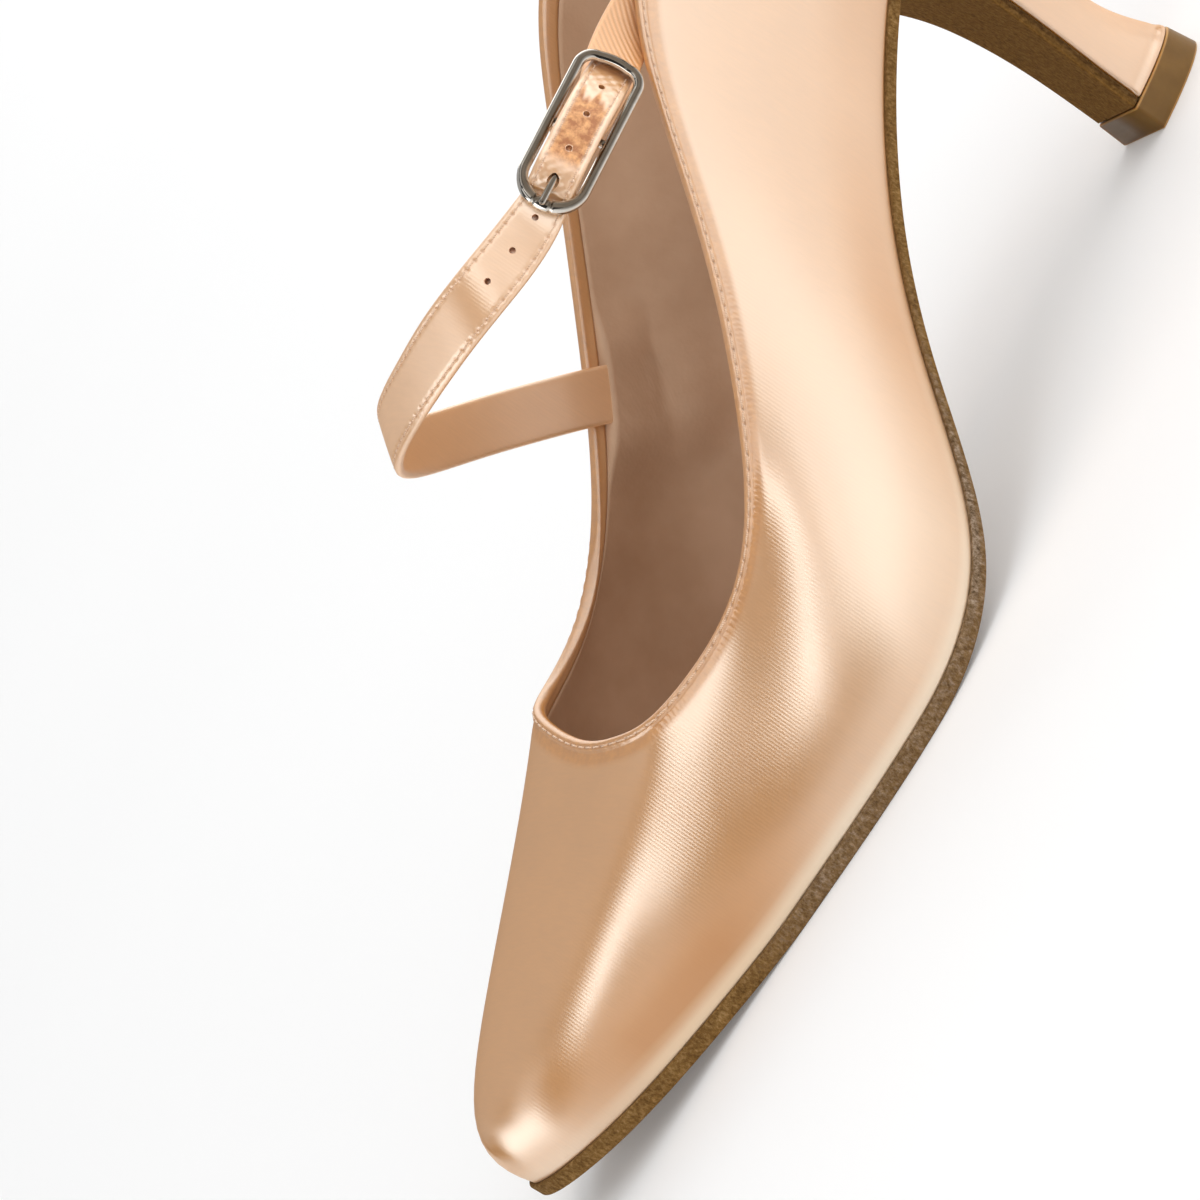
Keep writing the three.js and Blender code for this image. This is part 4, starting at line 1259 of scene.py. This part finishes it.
def make_outsole():
    """Suede sole, carried on down the front of the heel."""
    share = toward_tip(np.linspace(1, 0, SOLE_SECTIONS))
    outer = sole_edge(mix(ring_at("seatOuter"), RING_TIP, share))
    inner = sole_edge(mix(ring_at("seatInner"), RING_TIP, share))
    s = np.linspace(0, BREAST_END, BREAST_SECTIONS)
    outer = np.concatenate([outer, breast_edge(s, 1)])
    inner = np.concatenate([inner, breast_edge(s, -1)])
    sections = layer_loop(outer, inner)
    faces = loft_faces(*sections.shape[:2])
    cut, painted_edge_light, front = edge_marks()
    flap_light = np.maximum(FLAP_EDGE_LIGHT * painted_edge_light, FLAP_FACE_LIGHT * front)
    none, face = np.zeros(LAYER_ACROSS), np.full(LAYER_ACROSS, FLAP_FACE_LIGHT)
    cut_loop = np.concatenate([cut, none, cut[::-1], none])
    sole_light_loop = SOLE_EDGE_LIGHT * np.concatenate([painted_edge_light, none, painted_edge_light[::-1], none])
    flap_light_loop = np.concatenate([flap_light, face, flap_light[::-1], none])
    # Painted highlight on the lower corners, and painted light on the flap's front face
    flap = (np.arange(len(sections)) >= len(share))[:, None]
    marks = {
        "cut": cut_loop * flap,
        "painted_edge_light": np.where(flap, flap_light_loop, sole_light_loop),
        "fuzz": sole_fuzz(sections),
    }
    add_piece("outsole_suede", "suede", ["outsole"], sections, faces, suede, marks)


def make_insole():
    """Sock over the insole board, a little crowned with a turned edge."""
    inset = -(WALL + INSOLE_SLACK)
    share = toward_tip(np.linspace(0, 1, INSOLE_SECTIONS))

    def edge(ring):
        _, normal, plan = feather(ring, inset)
        corner_in, corner_down = rounded(INSOLE_CORNER, 5)
        steps_in = np.concatenate([[6.0, 3.0], corner_in, [0.0, 0.6, 3.0, 6.0]])
        lift = np.concatenate([[INSOLE_THICK] * 2, INSOLE_THICK - corner_down, [0.3, 0, 0, 0]])
        points = plan[:, None, :] - normal[:, None, :] * steps_in[None, :, None]
        return place(points[..., 0], points[..., 1], seat_height(points[..., 0]) + GAP + lift)

    outer = edge(mix(0, RING_TIP, share))
    inner = edge(mix(RING_END, RING_TIP, share))
    sections = layer_loop(outer, inner)
    add_piece("insole_sock", "lining", ["insole"], sections, loft_faces(*sections.shape[:2]), lining)


def make_heel():
    """Heel block in its satin cover, which rolls out in a lip at the bottom."""
    ring = np.linspace(ring_at("heelOuter"), ring_at("seatOuter"), 200)
    front = np.interp(HEEL_SEAT_FRONT, upper_row(ring)[:, 0], ring)
    _, _, edge = feather(np.linspace(front, -front, HEEL_AROUND), SEAT_RIM)
    seat = place(edge[:, 0], edge[:, 1], seat_height(edge[:, 0]))
    s = np.linspace(heel_knots[0], BREAST_END, HEEL_SECTIONS)
    rows = heel_row(s)
    blocks = heel_section(behind_breast(s, BREAST_LEATHER + GAP), rows[:, :2], rows[:, 2])
    sections = np.concatenate([seat[None], blocks])
    knots = travelled(sections[:, HEEL_AROUND // 2])
    surface = Spline(knots, sections.reshape(len(sections), -1))
    end = knots[-1]
    steps = np.concatenate([
        np.linspace(0, end - HEEL_LIP_ZONE, HEEL_STEPS),
        np.linspace(end - HEEL_LIP_START, end, HEEL_LIP_STEPS),
    ])
    sections = surface(steps).reshape(len(steps), HEEL_AROUND, 3)
    left = end - steps
    lip = HEEL_LIP * (hump(left, 0.5, 0.6) - 0.5 * hump(left, 1.9, 0.6))
    spread = sections - sections.mean(axis=1, keepdims=True)
    spread[..., 2] = 0
    sections = sections + unit(spread) * lip[:, None, None]
    add_piece("heel_satin", "satin", ["heel"], sections, loft_faces(len(steps), HEEL_AROUND), satin)


def make_heel_tip():
    """Tread piece with softened edges."""
    low, high = (np.array(TIP_ROWS[name], float) for name in ("tread", "top"))
    corner_in, rise = rounded(TREAD_CORNER, 6)
    side = np.linspace(0.2, 0.8, 5)
    lift = np.concatenate([[0.0], rise, side * TIP_HEIGHT, TIP_HEIGHT - rise[::-1], [TIP_HEIGHT]])
    inset = np.concatenate([[TREAD_REACH], corner_in, 0 * side, corner_in[::-1], [TREAD_REACH]])
    rows = mix(low, high, (lift / TIP_HEIGHT)[:, None])
    front = np.stack([rows[:, 1] - inset, lift], axis=1)
    back = np.stack([rows[:, 2] + inset, lift], axis=1)
    sections = heel_section(front, back, rows[:, 3] - inset)
    # Painted amber highlight along the tread's edges
    painted_edge_light = np.repeat(hump(inset, 0.12, 0.14)[:, None], HEEL_AROUND, axis=1) * (inset > 0)[:, None]
    faces = loft_faces(len(lift), HEEL_AROUND)
    add_piece("heel_tip_tread", "tread", ["heel_tip"], sections, faces, tread, {"painted_edge_light": painted_edge_light})


# Strap and tab
STRIP_HALF = 4.5
STRIP_TOP = 34
STRIP_CORNER = 5
STRIP_BOTTOM = 10
STRAP_STEPS = 640
STRAP_STITCH_PITCH = 1.8
STRAP_STITCH_INSET = 1.0
STRAP_STITCH_RADIUS = 0.11
STRAP_STITCH_SINK = 0.04
STRAP_CROWN = 0.12
STRAP_GROOVE = 0.1
STRAP_PIT = 0.2
STRAP_PIT_LENGTH = 0.24
CRINKLES = [0.028, 0.022, 0.018]
PUNCH_FIRST = 6.3
PUNCH_PITCH = 5.73
PUNCH_COUNT = 7
PRONG_PUNCH = 3
PUNCH_RADIUS = 0.5
PUNCH_FLOOR = 0.4
NOSE_BUNCH = 0.9
BACK_SHADE = 0.85
TAB_STEPS = 400
TAB_RIB_PITCH = 0.8
TAB_RIB = 0.05
TAB_SHADE = 0.35
TAB_DULLNESS = 0.7


def strip_profile(thick):
    """Across and out round a strip's section, as shares of half width and in millimetres."""
    radius = thick / 2
    turn = np.linspace(0, np.pi, STRIP_CORNER + 2)[1:-1]
    top = np.linspace(1, -1, STRIP_TOP)
    bottom = np.linspace(-1, 1, STRIP_BOTTOM)
    straight = 1 - radius / STRIP_HALF
    bulge = radius / STRIP_HALF * np.sin(turn)
    rise = radius * np.cos(turn)
    across = np.concatenate([top * straight, -straight - bulge, bottom * straight, straight + bulge])
    out = np.concatenate([0 * top + radius, rise, 0 * bottom - radius, -rise])
    return across, out


def strip_grid(strip, steps, thick):
    """Places along a strip, then across and out round its section."""
    s = np.linspace(0, strip.length, steps)
    across, out = strip_profile(thick)
    return s, across[None, :] * strip.frame(s)[4][:, None] / 2, out[None, :]


def sweep_mark(strip, steps, thick, mark):
    """Values of a mark on the outer face, none on the back."""
    s, across, out = strip_grid(strip, steps, thick)
    return np.where(out > 0, mark(s[:, None], across, strip.frame(s)[4][:, None] / 2), 0)


def sweep(strip, steps, thick, relief):
    """Sections along a strip; relief gives the outer face's lift from place along and place across."""
    s, across, out = strip_grid(strip, steps, thick)
    centre, _, side, face, _ = strip.frame(s)
    height = thick / 2 - (thick / 2 - out) * skived(strip, s)[:, None]
    height = height + sweep_mark(strip, steps, thick, relief)
    return centre[:, None, :] + side[:, None, :] * across[..., None] + face[:, None, :] * height[..., None]


def strap_pits(s, across, half):
    """1 at the needle holes between stitches, 0 half a millimetre away."""
    phase = (s / STRAP_STITCH_PITCH + 0.5) % 1 - 0.5
    lengthwise = hump(phase, 0, STRAP_PIT_LENGTH / STRAP_STITCH_PITCH)
    return lengthwise * hump(half - np.abs(across), STRAP_STITCH_INSET, PIT_RADIUS)


def along_buckle(s):
    """Place along the buckle of a place along the strap."""
    return (strap.frame(s)[0] - buckle_origin) @ buckle_along


def strap_wear(s, across, half):
    """Rubbed patch in the middle of the buckle."""
    along = along_buckle(s)
    ragged = along + 0.9 * np.sin(across * 2.3 + 0.6) + 0.5 * np.sin(across * 5.1)
    lengthwise = smooth(-5.5, -3.6, ragged) * (1 - smooth(5.2, 7.4, along))
    return lengthwise * smooth(0.5, 1.5, half - np.abs(across))


def strap_shade(s, across, half):
    """Painted shade in the needle holes, and painted shadow where the strap's end dips under the buckle's
    back bar.
    """
    clear = smooth(FRAME_BACK + 1.2, FRAME_BACK + 3, along_buckle(s))
    hidden = BACK_SHADE * (1 - clear) * (s < PUNCH_FIRST)
    return np.maximum(PIT_SHADE * strap_pits(s, across, half), hidden + 0 * across)


def strap_relief(s, across, half):
    """Crowned satin, sunk along both rows of stitches, crinkled in the buckle and bunched at its nose."""
    edge = half - np.abs(across)
    along = along_buckle(s)
    crown = STRAP_CROWN * (1 - (across / half) ** 2)
    groove = -STRAP_GROOVE * hump(edge, STRAP_STITCH_INSET, 0.3) - STRAP_PIT * strap_pits(s, across, half)
    inside = 1 - smooth(9, 12, along)
    slant = s + 0.55 * across
    crinkle = CRINKLES[0] * np.sin(slant * 2.1 + 0.8 * np.sin(slant * 0.6))
    crinkle = crinkle + CRINKLES[1] * np.sin(slant * 4.4 + across)
    crinkle = crinkle + CRINKLES[2] * np.sin(s * 3.1 - across * 2.7)
    bunched = NOSE_BUNCH * smooth(4.2, 7.2, along) * (1 - smooth(9.6, 11.4, along))
    return crown + groove + inside * crinkle * smooth(0.2, 1.2, edge) + bunched


def rod(start, end, radius, around=24):
    """Closed cylinder between two points."""
    axis = unit(end - start)
    side = unit(np.cross(axis, buckle_across + 0.3 * buckle_out))
    path = np.stack([start, end])
    sides = np.broadcast_to(side, path.shape)
    return tube(path, sides, np.cross(np.broadcast_to(axis, path.shape), sides), radius, around, False)


def cut_away(piece, rods):
    """Cuts rods out of a piece; the cut faces are marked for painted shade inside the holes."""
    points, faces = join_parts(rods)
    marks = {"painted_pit_shade": np.ones(len(points))}
    cutter = outward(make_piece("cutter", points, faces, piece.data.materials[0], marks))
    modifier = piece.modifiers.new("cut", "BOOLEAN")
    modifier.operation = "DIFFERENCE"
    modifier.solver = "EXACT"
    modifier.object = cutter
    cut = bpy.data.meshes.new_from_object(piece.evaluated_get(bpy.context.evaluated_depsgraph_get()))
    piece.modifiers.clear()
    piece.data = cut
    bpy.data.objects.remove(cutter)
    cut.set_sharp_from_angle(angle=math.radians(50))
    return piece


def make_strap():
    """Strap with punched holes that its backing closes, the fourth one drawn long by the prong."""
    sections = sweep(strap, STRAP_STEPS, STRAP_THICK, strap_relief)
    wear_and_shade = sweep_mark(strap, STRAP_STEPS, STRAP_THICK, strap_wear)
    marks = {
        "painted_pit_shade": sweep_mark(strap, STRAP_STEPS, STRAP_THICK, strap_shade),
        "wear_and_shade": wear_and_shade,
        "dull": wear_and_shade,
    }
    faces = loft_faces(*sections.shape[:2])
    piece = outward(make_piece("lit_strap_satin", sections, faces, lit_strap_satin, marks))
    rods = []
    for i in range(PUNCH_COUNT):
        centre, _, _, face, _ = strap.frame(PUNCH_FIRST + i * PUNCH_PITCH)
        if i != PRONG_PUNCH:
            rods.append(rod(centre - face * PUNCH_FLOOR, centre + face * STRAP_THICK, PUNCH_RADIUS))
    prong_ends = np.array([HOLE_ALONG - HOLE_LENGTH / 2, HOLE_ALONG + HOLE_LENGTH / 2])
    ends = on_buckle(prong_ends, np.zeros(2), np.full(2, PRONG_OUT + 0.1))
    rods.append(rod(ends[0], ends[1], PRONG_RADIUS + PRONG_SLACK))
    finish_piece(cut_away(piece, rods), "satin", "strap")


def make_strap_stitches():
    count = int(strap.length / STRAP_STITCH_PITCH) - 2
    middle = (np.arange(count) + 1.5) * STRAP_STITCH_PITCH
    half = strap.frame(middle)[4] / 2
    rows = []
    for sign in (1, -1):
        across = sign * (half - STRAP_STITCH_INSET)
        out = STRAP_THICK / 2 + strap_relief(middle, across, half) - STRAP_STITCH_SINK
        starts = strap.point(middle - STITCH_SHARE * STRAP_STITCH_PITCH, across, out)
        ends = strap.point(middle + STITCH_SHARE * STRAP_STITCH_PITCH, across, out)
        rows.append(capsule_chain(starts, ends, strap.frame(middle)[3], STRAP_STITCH_RADIUS))
    add_piece("strap_stitches", "satin", [], *join_parts(rows), thread)


def make_tab():
    """Tab with fine slanting ribs, with painted shade in their hollows."""
    def folds(s, across, half):
        slant = s * 0.72 - across * 0.7
        rib = TAB_RIB * np.sin(slant * 2 * np.pi / TAB_RIB_PITCH + 0.5 * np.sin(s))
        return rib * smooth(0.1, 0.9, half - np.abs(across)) * smooth(7, 9, s)

    def valley_shade(s, across, half):
        return np.clip(-folds(s, across, half) / TAB_RIB, 0, 1) * TAB_SHADE

    def dullness(s, across, half):
        return TAB_DULLNESS + 0 * s * across

    sections = sweep(tab, TAB_STEPS, TAB_THICK, folds)
    marks = {
        "painted_pit_shade": sweep_mark(tab, TAB_STEPS, TAB_THICK, valley_shade),
        "dull": sweep_mark(tab, TAB_STEPS, TAB_THICK, dullness),
    }
    faces = loft_faces(*sections.shape[:2])
    add_piece("buckle_tab_satin", "satin", ["buckle_tab"], sections, faces, lit_strap_satin, marks)


# Buckle
WIRE_AROUND = 24
BAR_STEPS = 12
NOSE_THICKER = 0.16
NOTCH_ACROSS = 1.25
NOTCH_DEPTH = 0.3


def frame_outline():
    """Closed outline of the frame as along and across."""
    def arc(along, across, radius_along, radius_across, start, end, steps):
        angle = np.radians(np.linspace(start, end, steps))
        turned = np.stack([radius_along * np.cos(angle), radius_across * np.sin(angle)], axis=1)
        return np.array([along, across]) + turned

    def run(start, end, steps):
        return mix(np.array(start), np.array(end), np.linspace(0, 1, steps + 2)[1:-1, None])

    side = FRAME_HALF - FRAME_CORNER
    back = FRAME_BACK + FRAME_CORNER
    front = FRAME_FRONT - FRAME_NOSE
    bow = np.linspace(1, -1, 14)[1:-1]
    end = np.stack([FRAME_BACK - FRAME_BOW * (1 - bow**2), side * bow], axis=1)
    return np.concatenate([
        arc(front, 0, FRAME_NOSE, FRAME_HALF, -90, 90, 96),
        run((front, FRAME_HALF), (back, FRAME_HALF), 24),
        arc(back, side, FRAME_CORNER, FRAME_CORNER, 90, 180, 16),
        end,
        arc(back, -side, FRAME_CORNER, FRAME_CORNER, 180, 270, 16),
        run((back, -FRAME_HALF), (front, -FRAME_HALF), 24),
    ])


def frame_out(along):
    return mix(FRAME_OUT_BACK, FRAME_OUT_FRONT, (along - FRAME_BACK) / (FRAME_FRONT - FRAME_BACK))


def wire_girth(outline):
    """Wire radius round the frame: thicker at the nose, with a notch on each side of the prong."""
    nose = smooth(FRAME_FRONT - 3, FRAME_FRONT - 0.6, outline[:, 0])
    notches = hump(np.abs(outline[:, 1]), NOTCH_ACROSS, 0.16) * (outline[:, 0] > FRAME_FRONT - 2)
    return WIRE_RADIUS + NOSE_THICKER * nose - NOTCH_DEPTH * notches


def crown_reflection_share():
    """1 along the top of a wire's round, 0 on its flanks and back; it places a painted dark reflection."""
    return smooth(0.65, 0.97, np.sin(np.linspace(0, 2 * np.pi, WIRE_AROUND, endpoint=False)))


def make_frame():
    outline = frame_outline()
    path = on_buckle(outline[:, 0], outline[:, 1], frame_out(outline[:, 0]))
    travel = unit(np.roll(path, -1, axis=0) - np.roll(path, 1, axis=0))
    up = np.broadcast_to(buckle_out, path.shape)
    wire = tube(path, unit(np.cross(travel, up)), up, wire_girth(outline), WIRE_AROUND, True)
    across = np.linspace(-FRAME_HALF, FRAME_HALF, BAR_STEPS)
    bar_path = on_buckle(0 * across, across, 0 * across + BAR_OUT)
    bar_side, bar_up = (np.broadcast_to(axis, bar_path.shape) for axis in (buckle_along, buckle_out))
    parts = [wire, tube(bar_path, bar_side, bar_up, BAR_RADIUS, WIRE_AROUND, False)]
    marks = {"crown": np.tile(crown_reflection_share(), len(path) + len(bar_path))}
    add_piece("buckle_frame_nickel", "nickel", ["buckle_frame"], *join_parts(parts), nickel, marks)


def make_prong():
    radius = BAR_RADIUS + LOOP_SLACK + PRONG_RADIUS
    angle = np.radians(np.arange(-150, -271, -LOOP_TURN))
    rest = FRAME_OUT_FRONT + WIRE_RADIUS + LOOP_SLACK + PRONG_RADIUS
    along = np.concatenate([radius * np.cos(angle), [4, 8.5, FRAME_FRONT - 0.4, PRONG_TIP]])
    out = np.concatenate([
        BAR_OUT + radius * np.sin(angle), [PRONG_OUT + 0.05, PRONG_OUT + 0.15, rest, rest - 0.05],
    ])
    points = on_buckle(along, 0 * along, out)
    curve = Spline(travelled(points), points)
    steps = np.linspace(0, curve.knots[-1], 90)
    path = curve(steps)
    travel = unit(np.gradient(path, axis=0))
    side = np.broadcast_to(buckle_across, path.shape)
    left = (curve.knots[-1] - steps) / PRONG_RADIUS
    girth = PRONG_RADIUS * np.sqrt(np.clip(1 - (1 - np.minimum(left, 1)) ** 2, 0.02, 1))
    up = unit(np.cross(travel, side))
    up = up * np.sign(up @ buckle_out)[:, None]
    wire = tube(path, side, up, girth, WIRE_AROUND, False)
    marks = {"crown": np.tile(crown_reflection_share(), len(path))}
    add_piece("buckle_prong_nickel", "nickel", ["buckle_prong"], *wire, nickel, marks)


# Stage: floor, lights and camera
PHOTO_PIXELS = 1200
VIEW_TARGET = (110, 0, 40)
VIEW_TURN = 19.767
VIEW_RISE = 14.312
VIEW_DISTANCE = 1173.8
VIEW_ROLL = 58.043
FOCAL_PIXELS = 7786.8
AXIS_PIXEL = (734.6, 396.5)
SENSOR = 36
FLOOR_HALF = 8

# Softboxes: turn from the outer side toward the heel, rise, half width and half height as seen from the
# shoe, all in degrees, and brightness
LIGHTS = {
    "heel_side_softbox": [35, 24, 40, 24, 1.75],
    "corner_fill": [-12, 44, 9, 11, 1.35],
    "streak_strip": [-31, 46, 4.5, 15, 3.3],
    "counter_softbox": [120, 28, 37, 23, 2.1],
    "toe_side_softbox": [-88, 18, 25, 18, 2.3],
    "toe_fill": [-75, 50, 10, 14, 0.8],
    "overhead_softbox": [20, 68, 18, 14, 1.4],
    "heel_strip": [75, 58, 15, 14, 1.2],
    "far_fill": [190, 46, 28, 40, 0.38],
}
LIGHT_DISTANCE = 1.6
LIGHT_TARGET = 40
WORLD_COLOUR = (0.07, 0.07, 0.07)


def direction(turn, rise):
    turn, rise = math.radians(turn), math.radians(rise)
    return np.array([math.sin(turn) * math.cos(rise), -math.cos(turn) * math.cos(rise), math.sin(rise)])


def looking(eye, forward, right):
    forward = unit(forward)
    right = unit(right - forward * right.dot(forward))
    up = np.cross(right, forward)
    matrix = np.eye(4)
    matrix[:3, 0], matrix[:3, 1], matrix[:3, 2], matrix[:3, 3] = right, up, -forward, eye
    return Matrix(matrix.tolist())


def make_floor():
    mesh = bpy.data.meshes.new("floor")
    signs = [(-1, -1), (1, -1), (1, 1), (-1, 1)]
    corners = [(FLOOR_HALF * x, FLOOR_HALF * y, 0) for x, y in signs]
    mesh.from_pydata(corners, [], [(0, 1, 2, 3)])
    mesh.materials.append(floor_material())
    floor = bpy.data.objects.new("floor", mesh)
    bpy.context.scene.collection.objects.link(floor)


def make_lights():
    centre = np.array([0, 0, LIGHT_TARGET * MM])
    for name, (turn, rise, half_width, half_height, brightness) in LIGHTS.items():
        lamp = bpy.data.lights.new(name, "AREA")
        lamp.shape = "RECTANGLE"
        lamp.size = 2 * LIGHT_DISTANCE * math.tan(math.radians(half_width))
        lamp.size_y = 2 * LIGHT_DISTANCE * math.tan(math.radians(half_height))
        lamp.energy = brightness * math.pi * lamp.size * lamp.size_y
        holder = bpy.data.objects.new(name, lamp)
        away = direction(turn, rise)
        holder.matrix_world = looking(centre + away * LIGHT_DISTANCE, -away, np.cross(-away, [0, 0, 1]))
        bpy.context.scene.collection.objects.link(holder)
    world = bpy.data.worlds.new("studio")
    world.use_nodes = True
    background = next(node for node in world.node_tree.nodes if node.type == "BACKGROUND")
    background.inputs["Color"].default_value = (*WORLD_COLOUR, 1)
    bpy.context.scene.world = world


def make_camera():
    """Camera at the photograph's angle, rolled as it is, aimed at the picture's middle."""
    target = place(*VIEW_TARGET) * MM
    away = direction(-VIEW_TURN, VIEW_RISE)
    eye = target + away * VIEW_DISTANCE * MM
    level = unit(np.cross(-away, [0, 0, 1]))
    upright = np.cross(level, -away)
    roll = math.radians(VIEW_ROLL)
    right = math.cos(roll) * level - math.sin(roll) * upright
    up = math.sin(roll) * level + math.cos(roll) * upright
    half = PHOTO_PIXELS / 2
    forward = -away + right * (half - AXIS_PIXEL[0]) / FOCAL_PIXELS
    forward = forward - up * (half - AXIS_PIXEL[1]) / FOCAL_PIXELS
    data = bpy.data.cameras.new("camera")
    data.sensor_width = SENSOR
    data.sensor_fit = "HORIZONTAL"
    data.lens = FOCAL_PIXELS / PHOTO_PIXELS * SENSOR
    data.clip_end = 100
    camera = bpy.data.objects.new("camera", data)
    camera.matrix_world = looking(eye, forward, right)
    bpy.context.scene.collection.objects.link(camera)
    bpy.context.scene.camera = camera


make_camera()
make_floor()
make_lights()
make_upper()
make_lining()
make_topline_stitches()
make_outsole()
make_insole()
make_heel()
make_heel_tip()
make_strap()
make_strap_stitches()
make_tab()
make_frame()
make_prong()
bpy.context.scene.view_settings.view_transform = "Standard"
